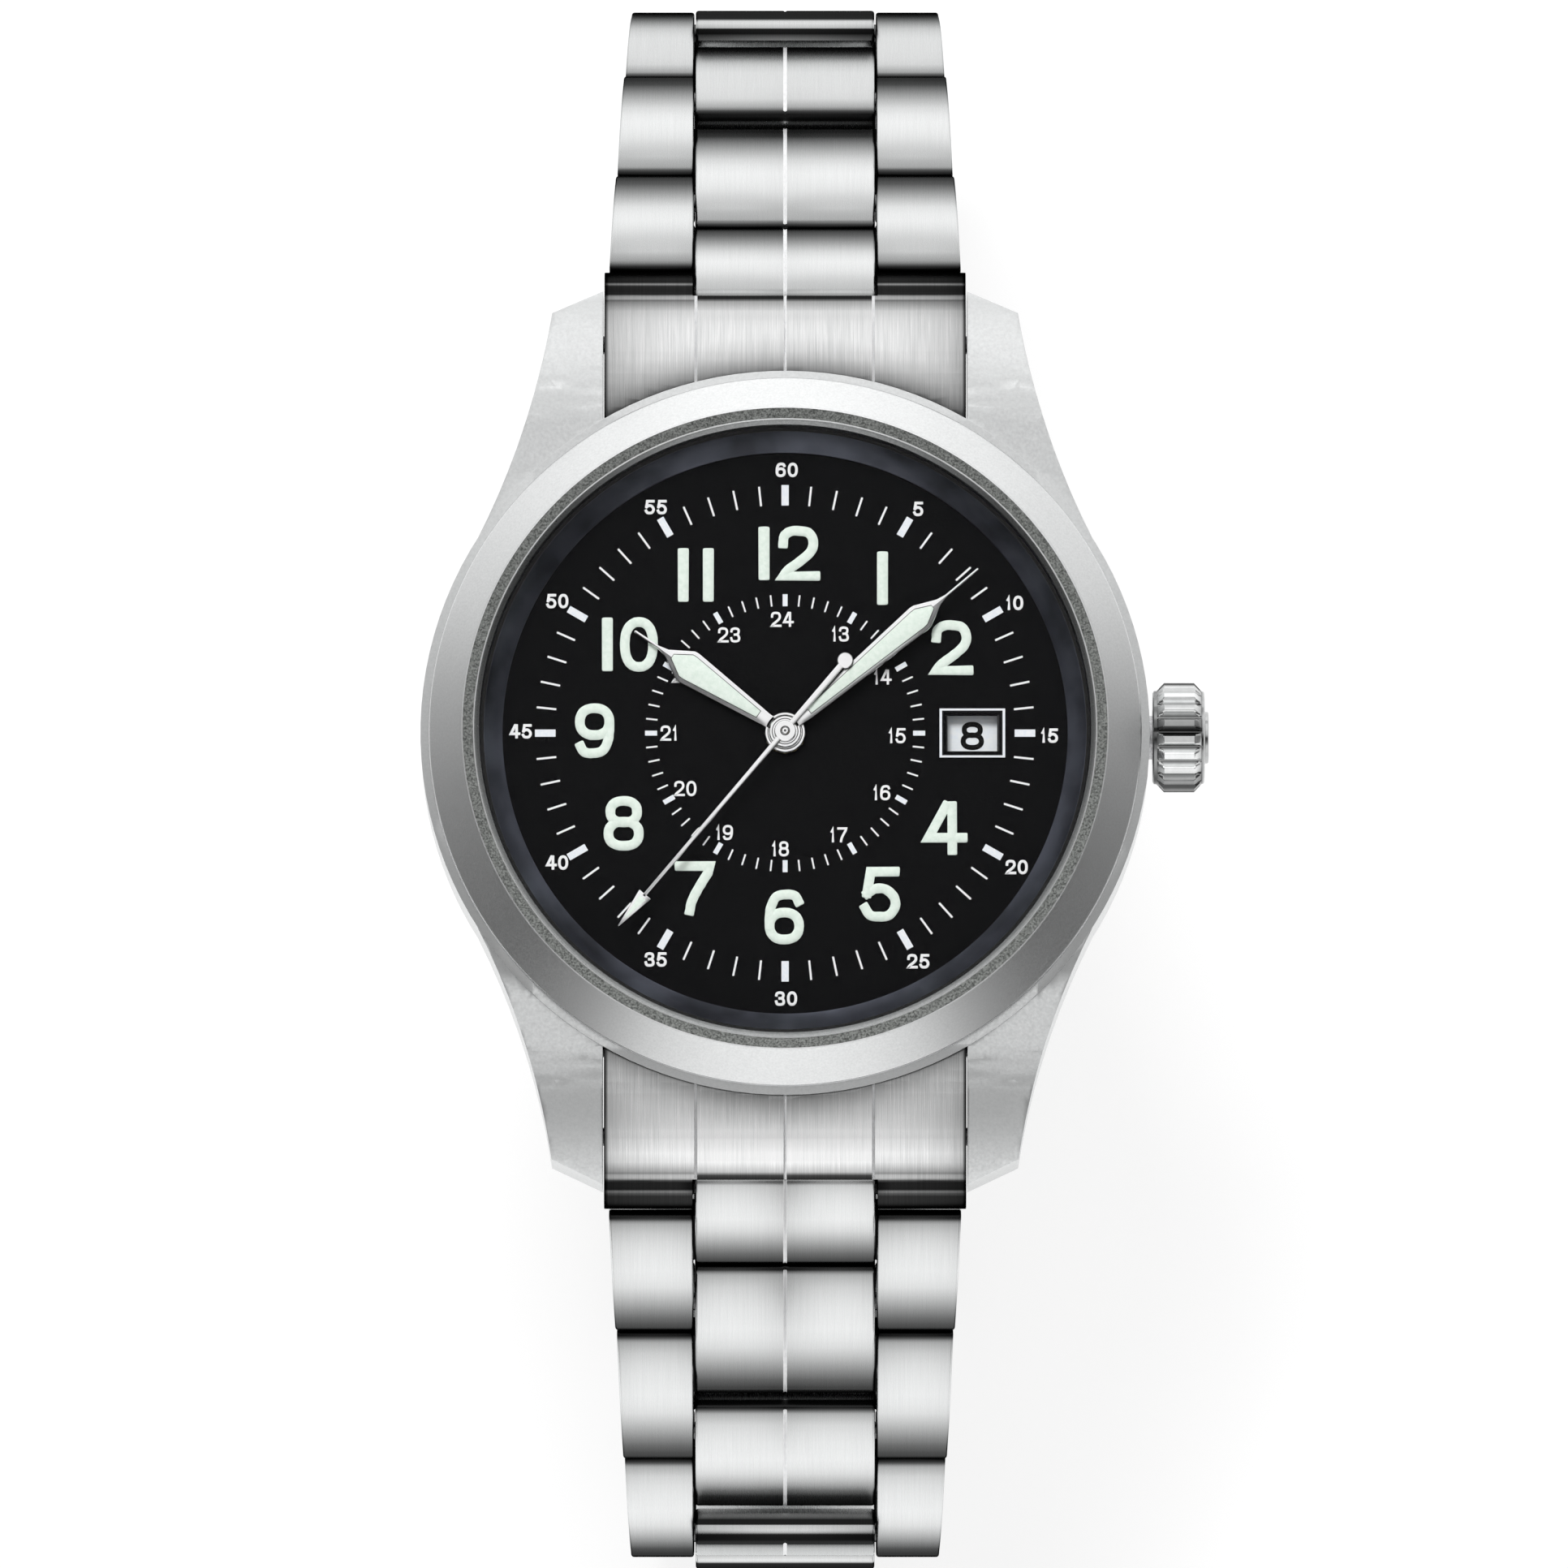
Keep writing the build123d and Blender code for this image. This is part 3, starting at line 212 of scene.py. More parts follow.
def paint(name, dark, light, roughness, size=5.0, strength=0.3):
    """A speckled finish that isn't metal."""
    made = material(name, light, 0.0, roughness)
    specks = grain(made, (size, size, size))
    wire(made, Base_Color=mix(made, dark, light, spread(made, specks, 0, 1, 0.35, 0.65)))
    bump(made, specks, strength)
    return made


# The links' and end links' steels carry painted shade and painted reflections from their meshes
links_steel = brushed(
    "links_brushed", (0.76, 0.77, 0.77), (0.82, 0.83, 0.83), 0.27, (22.0, 0.3, 0.3), 0.006, True, sheen=0.06
)
end_steel = brushed(
    "end_links_brushed", (0.72, 0.73, 0.73), (1.0, 1.0, 1.0), 0.3, (26.0, 0.3, 0.3), 0.1, True, 0.2, 0.15
)
case_satin = satin("case_satin", (0.69, 0.7, 0.7), (0.77, 0.78, 0.78), 0.36)
bezel_satin = satin("bezel_satin", (0.76, 0.77, 0.77), (0.88, 0.89, 0.89), 0.33, 8.0)
blasted = paint("bezel_blasted", (0.05, 0.053, 0.05), (0.24, 0.25, 0.24), 0.75, 9.0, 0.9)
lip_metal = satin("bezel_lip", (0.3, 0.31, 0.31), (0.44, 0.45, 0.45), 0.3, 8.0)
groove_steel = satin("groove_polished", (0.92, 0.93, 0.94), (1.0, 1.0, 1.0), 0.55, 4.0, 0.01)
polished = satin("steel_polished", (0.8, 0.81, 0.82), (0.88, 0.89, 0.9), 0.09, 2.0, 0.02)
# The crown's steel carries painted reflections and painted shade from its mesh
crown_polished = satin("crown_polished", (0.82, 0.83, 0.83), (0.92, 0.93, 0.93), 0.12, 2.0, 0.02, True)
plain_steel = satin("steel_plain", (0.5, 0.5, 0.51), (0.66, 0.66, 0.67), 0.3)
clasp_brushed = brushed(
    "clasp_brushed", (0.64, 0.65, 0.65), (0.74, 0.75, 0.75), 0.28, (14.0, 0.35, 0.35), 0.15, sheen=0.1
)
back_steel = brushed(
    "case_back_brushed", (0.62, 0.63, 0.63), (0.8, 0.81, 0.81), 0.3, (10.0, 0.3, 3.0), 0.3
)
hand_steel = satin("hands_steel", (0.98, 0.98, 0.99), (1.0, 1.0, 1.0), 0.2, 1.0, 0.0)
hand_line = paint("hand_line", (0.05, 0.05, 0.05), (0.12, 0.12, 0.12), 0.5, 5.0, 0.1)
brass = brushed("brass", (0.6, 0.45, 0.2), (0.76, 0.6, 0.3), 0.28, (3.0, 3.0, 3.0), 0.01)
wheel_steel = brushed("wheels_brushed", (0.6, 0.61, 0.62), (0.78, 0.79, 0.8), 0.25, (8.0, 1.0, 3.0), 0.02)
plate_metal = satin("plate_grained", (0.6, 0.57, 0.5), (0.8, 0.77, 0.7), 0.3, 3.0)
dial_black = paint("dial_black", (0.0025, 0.0025, 0.003), (0.0055, 0.0055, 0.006), 0.7, 5.0, 0.35)
wire(dial_black, Specular_IOR_Level=0.08)
frame_black = paint("window_black", (0.008, 0.008, 0.009), (0.016, 0.016, 0.018), 0.4, 4.0, 0.2)
lume = paint("lume", (0.8, 0.91, 0.82), (0.9, 0.99, 0.91), 0.75, 4.0, 0.5)
print_white = paint("print_white", (0.86, 0.91, 0.97), (0.96, 0.98, 1.0), 0.6, 7.0, 0.2)
print_grey = paint("print_pale", (0.95, 0.96, 0.97), (1.0, 1.0, 1.0), 0.6, 7.0, 0.2)
date_white = paint("date_disc", (0.9, 0.95, 1.0), (0.96, 0.99, 1.0), 0.45, 3.0, 0.1)
date_ink = paint("date_ink", (0.001, 0.001, 0.001), (0.003, 0.003, 0.003), 0.8, 4.0, 0.1)
rubber = paint("gasket_rubber", (0.002, 0.002, 0.002), (0.006, 0.006, 0.006), 0.5, 3.0, 0.2)

ruby = material("jewel", (0.5, 0.01, 0.05), 0.0, 0.08)
wire(ruby, Base_Color=mix(ruby, (0.3, 0.005, 0.03), (0.62, 0.02, 0.08), grain(ruby, (4, 4, 4))))

rehaut_metal = material("rehaut_gunmetal", (0.05, 0.055, 0.07), 0.75, 0.3)
rehaut_cloud = grain(rehaut_metal, (0.25, 0.25, 0.25), 3.0, 0.5)
rehaut_factor = spread(rehaut_metal, rehaut_cloud, 0, 1, 0.35, 0.65)
wire(rehaut_metal, Base_Color=mix(rehaut_metal, (0.05, 0.053, 0.066), (0.13, 0.14, 0.175), rehaut_factor))
bump(rehaut_metal, grain(rehaut_metal, (5, 5, 5)), 0.1)

bridge_metal = material("bridge_striped", (0.75, 0.74, 0.7), 1.0, 0.24)
stripes = node(
    bridge_metal, "ShaderNodeTexWave", wave_type="BANDS", bands_direction="X", wave_profile="SAW",
    Scale=0.16, Distortion=0.0, Vector=place(bridge_metal, (1, 1, 1)),
).outputs["Fac"]
wire(bridge_metal, Base_Color=mix(bridge_metal, (0.42, 0.42, 0.4), (0.82, 0.81, 0.77), stripes))
bump(bridge_metal, grain(bridge_metal, (0.4, 14, 1)), 0.25, 0.01)

glass = material("sapphire", (0.0, 0.0, 0.0), 0.0, 0.02, Alpha=0.03, IOR=1.77)
glass_facing = node(glass, "ShaderNodeLayerWeight", Blend=0.25).outputs["Facing"]
glass_haze = grain(glass, (0.3, 0.3, 0.3))
wire(
    glass, Alpha=spread(glass, glass_facing, 0.015, 0.4, 0.0, 1.0),
    Base_Color=mix(glass, (0.002, 0.002, 0.003), (0.006, 0.006, 0.009), glass_haze),
)


# ---------------------------------------------------------------- mesh helpers
def z(height):
    return BASE + height


def store_shades(mesh, values):
    layer = mesh.attributes.new(SHADE, "FLOAT_COLOR", "POINT")
    for item, value in zip(layer.data, values):
        item.color = (value, value, value, 1)


def add_object(name, mesh, smooth_angle):
    """Shows a mesh as an object that is smooth where faces meet at less than an angle."""
    obj = bpy.data.objects.new(name, mesh)
    bpy.context.scene.collection.objects.link(obj)
    made = bmesh.new()
    made.from_mesh(mesh)
    bmesh.ops.remove_doubles(made, verts=made.verts, dist=SAME_POINT)
    bmesh.ops.recalc_face_normals(made, faces=made.faces)
    limit = math.radians(smooth_angle)
    for face in made.faces:
        face.smooth = True
    for edge in made.edges:
        edge.smooth = len(edge.link_faces) == 2 and edge.calc_face_angle(0) < limit
    made.to_mesh(mesh)
    made.free()
    return obj


class Build:
    """Gathers one piece's points and faces, with points' painted shades and the marks of faces' materials."""

    def __init__(self):
        self.points, self.faces, self.shades, self.marks = [], [], [], []

    def add(self, points, faces, shades=None, mark=0, marks=None):
        start = len(self.points)
        self.points += [tuple(p) for p in points]
        self.faces += [tuple(i + start for i in f) for f in faces]
        self.shades += shades or [1.0] * len(points)
        self.marks += marks or [mark] * len(faces)

    def make(self, name, made, body, slot, smooth_angle=35.0, replaces=(), shaded=False):
        """Makes the piece. made is its material, or the list that its marks point to."""
        materials = made if isinstance(made, list) else [made]
        mesh = bpy.data.meshes.new(name)
        mesh.from_pydata([Vector(p) * MM for p in self.points], [], self.faces)
        for each in materials:
            mesh.materials.append(each)
        if shaded:
            store_shades(mesh, self.shades)
        obj = add_object(name, mesh, smooth_angle)
        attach(obj, body)
        if replaces:
            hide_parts(*replaces)
        if len(materials) > 1:
            for polygon, mark in zip(mesh.polygons, self.marks):
                polygon.material_index = mark


def quads(rows, size, wrapped=False):
    """Faces between rows of points, and from the last row back to the first if wrapped."""
    faces = []
    for row in range(rows if wrapped else rows - 1):
        near, far = row * size, (row + 1) % rows * size
        for index in range(size):
            after = (index + 1) % size
            faces.append((near + index, near + after, far + after, far + index))
    return faces


def revolve(build, profile, segments=256, centre=(0.0, 0.0), marks=None, closed=True, base=BASE):
    """Turns a profile of (radius, height over the base) points about an upright axis.
    marks gives the material of the band that starts at each point."""
    count = len(profile)
    points, faces, bands = [], [], []
    for step in range(segments):
        angle = 2 * math.pi * step / segments
        for radius, height in profile:
            x, y = centre[0] + radius * math.cos(angle), centre[1] + radius * math.sin(angle)
            points.append((x, y, base + height))
    for band in range(count if closed else count - 1):
        following = (band + 1) % count
        for step in range(segments):
            near, far = step * count, (step + 1) % segments * count
            faces.append((near + band, near + following, far + following, far + band))
            bands.append(marks[band] if marks else 0)
    build.add(points, faces, marks=bands)


def loft(build, loops, shades=None, mark=0):
    """Joins closed loops of the same number of points, and closes both ends."""
    rows, size = len(loops), len(loops[0])
    ends = [tuple(range(size)), tuple(reversed(range((rows - 1) * size, rows * size)))]
    build.add([p for loop in loops for p in loop], quads(rows, size) + ends, shades, mark)


def inset(loop, amount):
    """Moves a loop's points inwards by an amount, along their own normals."""
    area = sum(a[0] * b[1] - b[0] * a[1] for a, b in zip(loop, loop[1:] + loop[:1]))
    turn = 1 if area > 0 else -1
    least_cosine = 0.4
    moved = []
    for index, point in enumerate(loop):
        before, after = loop[index - 1], loop[(index + 1) % len(loop)]
        first = Vector((point[0] - before[0], point[1] - before[1]))
        second = Vector((after[0] - point[0], after[1] - point[1]))
        if first.length < 1e-9 or second.length < 1e-9:
            moved.append(point)
            continue
        first.normalize()
        second.normalize()
        normal = Vector((-(first.y + second.y), first.x + second.x)) * turn
        if normal.length < 1e-6:
            moved.append(point)
            continue
        normal.normalize()
        cosine = max(least_cosine, normal.dot(Vector((-first.y, first.x)) * turn))
        moved.append((point[0] + normal.x * amount / cosine, point[1] + normal.y * amount / cosine))
    return moved


def between(stops, place_at):
    """Reads a value between the stops of a table."""
    for (a, low), (b, high) in zip(stops, stops[1:]):
        if place_at <= b:
            return low + (high - low) * max(0.0, (place_at - a) / (b - a))
    return stops[-1][1]


def dress(node_name, made):
    """Gives a CAD node a material."""
    mesh = frame["nodes"][node_name].data
    mesh.materials.clear()
    mesh.materials.append(made)


def cut(mesh, axis, place_at):
    """Adds edges where a mesh crosses a plane square to an axis."""
    normal = [1.0 if index == axis else 0.0 for index in range(3)]
    bmesh.ops.bisect_plane(
        mesh, geom=[*mesh.verts, *mesh.edges, *mesh.faces], dist=SAME_POINT,
        plane_co=[value * place_at * MM for value in normal], plane_no=normal,
    )


# Cuts over the lugs as (axis, nearest to the middle, count), and the step between them
ROOT_CUTS = ((0, 10.15, 13), (1, 14.4, 14))
ROOT_STEP = 0.4
# The tops that are rounded lie past this x, between these y, and over this height
ROOT_X, ROOT_START, ROOT_END, ROOT_HEIGHT = 10.0, 14.5, 19.5, 2.5
ROOT_PASSES = 14


def soften_roots(mesh):
    """Rounds the faint creases where the lugs' tops leave the case's band."""
    for sign in (-1, 1):
        for axis, nearest, count in ROOT_CUTS:
            for step in range(count):
                cut(mesh, axis, sign * (nearest + ROOT_STEP * step))
    mesh.normal_update()
    sharp = {vertex for e in mesh.edges if e.calc_face_angle(3.0) > 0.4 for vertex in e.verts}
    tops = [
        vertex for vertex in mesh.verts
        if vertex not in sharp and vertex.normal.z > 0.6 and vertex.co.z > z(ROOT_HEIGHT) * MM
        and ROOT_START < abs(vertex.co.y / MM) < ROOT_END and abs(vertex.co.x / MM) > ROOT_X
    ]
    for _ in range(ROOT_PASSES):
        bmesh.ops.smooth_vert(
            mesh, verts=tops, factor=0.5, use_axis_x=False, use_axis_y=False, use_axis_z=True
        )


EDGE_ANGLE = math.radians(28.0)
SHORTEST_EDGE = 0.03
GROOVE_DEPTH, GROOVE_FACING = 0.05, 0.35
# Where a piece with painted shade is cut, so that its painted shade can change: across the bracelet and along it.
# The shift keeps the cuts off the piece's own edges.
SHADE_WIDTHS = [*range(-9, 10), -9.7, 9.7, -9.8, 9.8]
REACHES = [17.5 + 0.4 * step for step in range(16)] + [24.13, 24.24, 24.38, 24.5, 24.98, 25.09, 25.19, 25.4]
SHADE_SHIFT = 0.013


def edged(
    node_name, bevel, made, edge, body, slot, smooth=30, grooves=(), shade=None, soften=False, name=None
):
    """A copy of a CAD node with rounded edges in their own finish, and V grooves cut lengthwise.
    grooves holds (centre, half width), and shade gives the painted shade at a point."""
    name = name or node_name + "_piece"
    mesh = bmesh.new()
    mesh.from_mesh(frame["nodes"][node_name].data)
    bmesh.ops.remove_doubles(mesh, verts=mesh.verts, dist=2e-6)
    bmesh.ops.dissolve_limit(mesh, angle_limit=math.radians(0.6), verts=mesh.verts, edges=mesh.edges)
    for face in mesh.faces:
        face.material_index = 0
    sharp = [
        e for e in mesh.edges
        if len(e.link_faces) == 2 and e.calc_face_angle(0) > EDGE_ANGLE and e.calc_length() > SHORTEST_EDGE * MM
    ]
    bmesh.ops.bevel(
        mesh, geom=sharp, offset=bevel * MM, offset_type="OFFSET", segments=2,
        profile=0.5, affect="EDGES", clamp_overlap=True, material=1 if edge else -1,
    )
    if shade:
        for place_at in SHADE_WIDTHS:
            cut(mesh, 0, place_at + SHADE_SHIFT)
        for sign in (-1, 1):
            for reach in REACHES:
                cut(mesh, 1, sign * reach + SHADE_SHIFT)
    if soften:
        soften_roots(mesh)
    for centre, half in grooves:
        for place_x in (centre - half, centre, centre + half):
            cut(mesh, 0, place_x)
        mesh.normal_update()
        for vertex in mesh.verts:
            if abs(vertex.co.x - centre * MM) < SAME_POINT and vertex.normal.z > GROOVE_FACING:
                vertex.co -= vertex.normal * GROOVE_DEPTH * MM
        for face in mesh.faces:
            off_centre = abs(face.calc_center_median().x - centre * MM)
            if face.normal.z > GROOVE_FACING and off_centre < half * MM:
                face.material_index = 2
    made_mesh = bpy.data.meshes.new(name)
    mesh.to_mesh(made_mesh)
    mesh.free()
    made_mesh.materials.append(made)
    if edge or grooves:
        made_mesh.materials.append(edge or made)
    if grooves:
        made_mesh.materials.append(groove_steel)
    if shade:
        store_shades(made_mesh, [shade(vertex.co / MM) for vertex in made_mesh.vertices])
    obj = add_object(name, made_mesh, smooth)
    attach(obj, body)
    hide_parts(node_name)


# ---------------------------------------------------------------- case and bezel
edged("mid_case", 0.12, case_satin, groove_steel, "head", "case_steel", soften=True, name="case_middle")

bezel_build = Build()
bezel_profile = [
    (16.76, 5.42), (19.5, 5.42), (19.55, 5.46), (19.55, 5.85), (19.545, 5.9), (19.53, 5.935), (19.46, 5.998),
    (17.8, 7.477), (17.74, 7.53), (17.67, 7.57), (17.63, 7.555), (17.12, 7.41), (17.09, 7.45), (17.05, 7.46),
    (17.02, 7.42), (16.84, 7.36), (16.78, 7.3), (16.76, 7.2),
]
bezel_marks = [0, 0, 1, 1, 3, 0, 0, 0, 1, 2, 2, 1, 1, 1, 3, 3, 3, 3]
revolve(bezel_build, bezel_profile, marks=bezel_marks)
bezel_build.make(
    "bezel_ring", [bezel_satin, groove_steel, blasted, lip_metal], "head", "bezel_steel", 30, ["bezel"]
)

gasket_build = Build()
revolve(gasket_build, [(16.52, 6.3), (16.72, 6.3), (16.72, 6.48), (16.52, 6.48)])
gasket_build.make("crystal_gasket", rubber, "head", "gasket")

crystal_build = Build()
crystal_profile = [
    (0.01, 6.51), (16.7, 6.51), (16.74, 6.55), (16.74, 7.5), (16.7, 7.58), (16.52, 7.73), (16.46, 7.745),
    (0.01, 7.745),
]
revolve(crystal_build, crystal_profile, closed=False)
crystal_build.make("crystal_sapphire", glass, "head", "crystal", 30, ["crystal"])

rehaut_build = Build()
revolve(
    rehaut_build,
    [(15.5, 5.005), (16.74, 5.005), (16.74, 6.29), (16.5, 6.27), (15.58, 5.14), (15.5, 5.1)],
)
rehaut_build.make("rehaut_slope", rehaut_metal, "head", "rehaut", 30, ["rehaut_ring"])


# ---------------------------------------------------------------- dial and its printing
def curve(points, steps=8):
    """A smooth line through points."""
    made = []
    for index in range(len(points) - 1):
        a = points[max(0, index - 1)]
        b, c = points[index], points[index + 1]
        d = points[min(len(points) - 1, index + 2)]
        for step in range(steps):
            t = step / steps
            made.append(tuple(
                0.5 * (2 * q + (r - p) * t + (2 * p - 5 * q + 4 * r - s) * t * t + (3 * q - p - 3 * r + s) * t**3)
                for p, q, r, s in zip(a, b, c, d)
            ))
    made.append(points[-1])
    return made


def oval(y, half_x, half_y, power=2.3, steps=28):
    """A closed ring, a little squarer than an ellipse, about (0, y)."""
    made = []
    for step in range(steps):
        angle = 2 * math.pi * step / steps
        c, s = math.cos(angle), math.sin(angle)
        x = half_x * math.copysign(abs(c) ** (2 / power), c)
        made.append((x, y + half_y * math.copysign(abs(s) ** (2 / power), s)))
    return made


# Each digit's strokes as (points, closed); both ways run from -1 to 1.
TWO = [
    (-1, 0.42), (-0.92, 0.78), (-0.5, 0.98), (0.1, 1), (0.7, 0.9), (0.98, 0.5), (0.8, 0.08), (0.1, -0.35),
    (-0.65, -0.72), (-0.98, -1),
]
THREE_TOP = [(-0.95, 0.55), (-0.75, 0.88), (0, 1), (0.75, 0.86), (0.88, 0.45), (0.55, 0.1), (-0.1, 0.04)]
THREE_BOWL = [(-0.1, 0.04), (0.6, 0), (1, -0.45), (0.8, -0.88), (0, -1), (-0.75, -0.9), (-1, -0.5)]
FIVE_BOWL = [
    (-0.86, 0.02), (-0.3, 0.24), (0.4, 0.2), (0.92, -0.15), (0.98, -0.55), (0.6, -0.92), (0, -1),
    (-0.65, -0.93), (-1, -0.6),
]
SIX_ARM = [(0.95, 0.68), (0.7, 0.94), (0.1, 1), (-0.55, 0.88), (-0.9, 0.45), (-1, -0.05), (-1, -0.4)]
SEVEN_LEG = [(0.92, 0.72), (0.35, 0.1), (-0.12, -0.5), (-0.3, -1.0)]
DIGITS = {
    "0": [(oval(0, 1, 1), True)],
    "1": [([(0, -1.0), (0, 1.0)], False)],
    "2": [(curve(TWO) + [(1.15, -1)], False)],
    "3": [(curve(THREE_TOP), False), (curve(THREE_BOWL), False)],
    "4": [([(0.12, 1.0), (-1, -0.42), (1.2, -0.42)], False), ([(0.5, 1.0), (0.5, -1.0)], False)],
    "5": [([(1.0, 1), (-0.62, 1), (-0.86, 0.02)], False), (curve(FIVE_BOWL), False)],
    "6": [(oval(-0.4, 1, 0.6), True), (curve(SIX_ARM), False)],
    "7": [([(-1.0, 1), (1, 1)] + curve(SEVEN_LEG)[1:], False)],
    "8": [(oval(0.52, 0.88, 0.48), True), (oval(-0.46, 1, 0.54), True)],
}
DIGITS["9"] = [([(-x, -y) for x, y in points], closed) for points, closed in DIGITS["6"]]
FLAGGED_ONE = [([(-0.75, 0.5), (0.15, 1.0), (0.15, -1.0)], False)]


def rounded(points, half, corner):
    """Stations of an open stroke whose ends have rounded corners, as (point, half width)."""
    stations = [(point, half) for point in points]
    for at_end in (False, True):
        near, far = (points[-2], points[-1]) if at_end else (points[1], points[0])
        tip = Vector(far)
        back = (Vector(near) - tip).normalized()
        added = [
            (tuple(tip + back * corner * (1 - math.sin(turn))), half - corner * (1 - math.cos(turn)))
            for turn in (0.0, 0.55, 1.05, math.pi / 2)
        ]
        if at_end:
            stations = stations[:-1] + added
        else:
            stations = list(reversed(added)) + stations[1:]
    return stations


def stroke(build, points, closed, half, low, high, dome=0.0, mark=0, corner=0.0):
    """A raised line along points, with a flat or domed top."""
    halves = [half] * len(points)
    if corner and not closed:
        stations = rounded(points, half, corner)
        points = [point for point, _ in stations]
        halves = [each for _, each in stations]
    count = len(points)
    normals = []
    for index in range(count):
        before = points[index - 1] if closed or index else points[index]
        after = points[(index + 1) % count] if closed or index < count - 1 else points[index]
        first = Vector(points[index]) - Vector(before)
        second = Vector(after) - Vector(points[index])
        if first.length < 1e-9:
            first = second.copy()
        if second.length < 1e-9:
            second = first.copy()
        first.normalize()
        second.normalize()
        direction = first + second
        if direction.length < 1e-6:
            direction = first
        direction.normalize()
        normal = Vector((-direction.y, direction.x))
        cosine = max(0.5, normal.dot(Vector((-first.y, first.x))))
        normals.append(normal / cosine)
    if dome:
        section = [(-1, 0), (-1, 0.6), (-0.82, 0.9), (0, 1 + dome), (0.82, 0.9), (1, 0.6), (1, 0)]
    else:
        section = [(-1, 0), (-1, 0.8), (-0.94, 1), (0.94, 1), (1, 0.8), (1, 0)]
    loops = []
    for point, normal, half in zip(points, normals, halves):
        loops.append([
            (point[0] + normal.x * half * across, point[1] + normal.y * half * across, low + (high - low) * up)
            for across, up in section
        ])
    if closed:
        build.add([p for loop in loops for p in loop], quads(count, len(section), True), mark=mark)
    else:
        loft(build, loops, mark=mark)


def extend(points, amount):
    """Lengthens an open line at both of its ends."""
    first = Vector(points[0]) - Vector(points[1])
    last = Vector(points[-1]) - Vector(points[-2])
    return (
        [tuple(Vector(points[0]) + first.normalized() * amount)] + list(points[1:-1])
        + [tuple(Vector(points[-1]) + last.normalized() * amount)]
    )


def digit(build, strokes, x, y, width, height, thick, low, high, dome=0.0):
    """One figure centred at x, y. Each stroke ends a little higher, so that none share a face."""
    half = thick / 2
    for order, (points, closed) in enumerate(strokes):
        placed = [(x + px * (width / 2 - half), y + py * (height / 2 - half)) for px, py in points]
        if not closed:
            placed = extend(placed, half * 0.9)
        stroke(build, placed, closed, half, low, high + 0.004 * order, dome, corner=0.3 * half)


def number(build, text, x, y, width, height, thick, low, high, gap):
    """Figures side by side, centred at x, y. A figure 1 is half as wide and has a flag."""
    widths = [width * (0.5 if sign == "1" else 1) for sign in text]
    place_x = x - (sum(widths) + gap * (len(text) - 1)) / 2
    for sign, wide in zip(text, widths):
        strokes = FLAGGED_ONE if sign == "1" else DIGITS[sign]
        digit(build, strokes, place_x + wide / 2, y, wide, height, thick, low, high)
        place_x += wide + gap


dress("dial", dial_black)

# The hours' figures as (figure, x, y, width), and the rest of their sizes
HOURS = [
    ("1", -1.16, 9.93, 0.62), ("2", 0.73, 9.93, 2.2), ("1", 5.34, 8.56, 0.62), ("2", 9.13, 4.71, 2.2),
    ("4", 8.73, -5.26, 2.25), ("5", 5.21, -8.9, 2.2), ("6", -0.04, -10.16, 2.15), ("7", -4.98, -8.59, 2.2),
    ("8", -8.85, -4.99, 2.2), ("9", -10.45, 0.13, 2.15), ("1", -9.75, 4.9, 0.62), ("0", -8.02, 4.9, 2.09),
    ("1", -5.59, 8.74, 0.62), ("1", -4.21, 8.74, 0.62),
]
HOUR_HEIGHT, HOUR_STROKE, HOUR_ONE_STROKE = 3.02, 0.53, 0.6
LUME_RISE, LUME_DOME, LUME_WAVER = 0.1, 0.25, 0.018
lume_build = Build()
for sign, x, y, width in HOURS:
    thick = HOUR_ONE_STROKE if sign == "1" else HOUR_STROKE
    digit(lume_build, DIGITS[sign], x, y, width, HOUR_HEIGHT, thick, DIAL, DIAL + LUME_RISE, LUME_DOME)
lume_build.points = [
    (
        x + LUME_WAVER * noise.noise((x * 5, y * 5, 0)),
        y + LUME_WAVER * noise.noise((x * 5, y * 5, 9)),
        height,
    )
    for x, y, height in lume_build.points
]
lume_build.make("hour_numerals", lume, "head", "dial", 40)


def tick(build, minute, inner, outer, half, rise):
    """A mark of the minute track between two radii."""
    angle = math.radians(90 - 6 * minute)
    c, s = math.cos(angle), math.sin(angle)
    corners = [(inner, -half), (outer, -half), (outer, half), (inner, half)]
    low = [(r * c - t * s, r * s + t * c, DIAL) for r, t in corners]
    top = [(x, y, DIAL + rise) for x, y, _ in low]
    build.add(low + top, [(3, 2, 1, 0), (4, 5, 6, 7), (0, 1, 5, 4), (1, 2, 6, 5), (2, 3, 7, 6), (3, 0, 4, 7)])


print_build, tick_build, ring_build = Build(), Build(), Build()
for minute in range(60):
    if minute % 5:
        tick(print_build, minute, 12.62, 13.7, 0.055, 0.014)
        tick(ring_build, minute, 7.04, 7.66, 0.045, 0.014)
    else:
        tick(tick_build, minute, 12.59, 13.72, 0.2, 0.02)
        tick(tick_build, minute, 7.02, 7.68, 0.135, 0.02)
MINUTES = {
    60: (0.09, 14.56), 5: (7.3, 12.4), 10: (12.6, 7.2), 15: (14.5, -0.14), 20: (12.7, -7.4),
    25: (7.3, -12.6), 30: (0.05, -14.66), 35: (-7.1, -12.5), 40: (-12.5, -7.15), 45: (-14.5, 0.1),
    50: (-12.5, 7.3), 55: (-7.1, 12.5),
}
AFTERNOON = {
    24: (-0.17, 6.29), 13: (3.03, 5.48), 14: (5.34, 3.1), 15: (6.14, -0.14), 16: (5.3, -3.29), 17: (2.94, -5.62),
    18: (-0.26, -6.39), 19: (-3.33, -5.49), 20: (-5.47, -3.06), 21: (-6.36, 0), 22: (-5.6, 3.2), 23: (-3.07, 5.43),
}
FIGURE_WIDTH, FIGURE_GAP, PRINT_RISE = 0.56, 0.1, 0.018
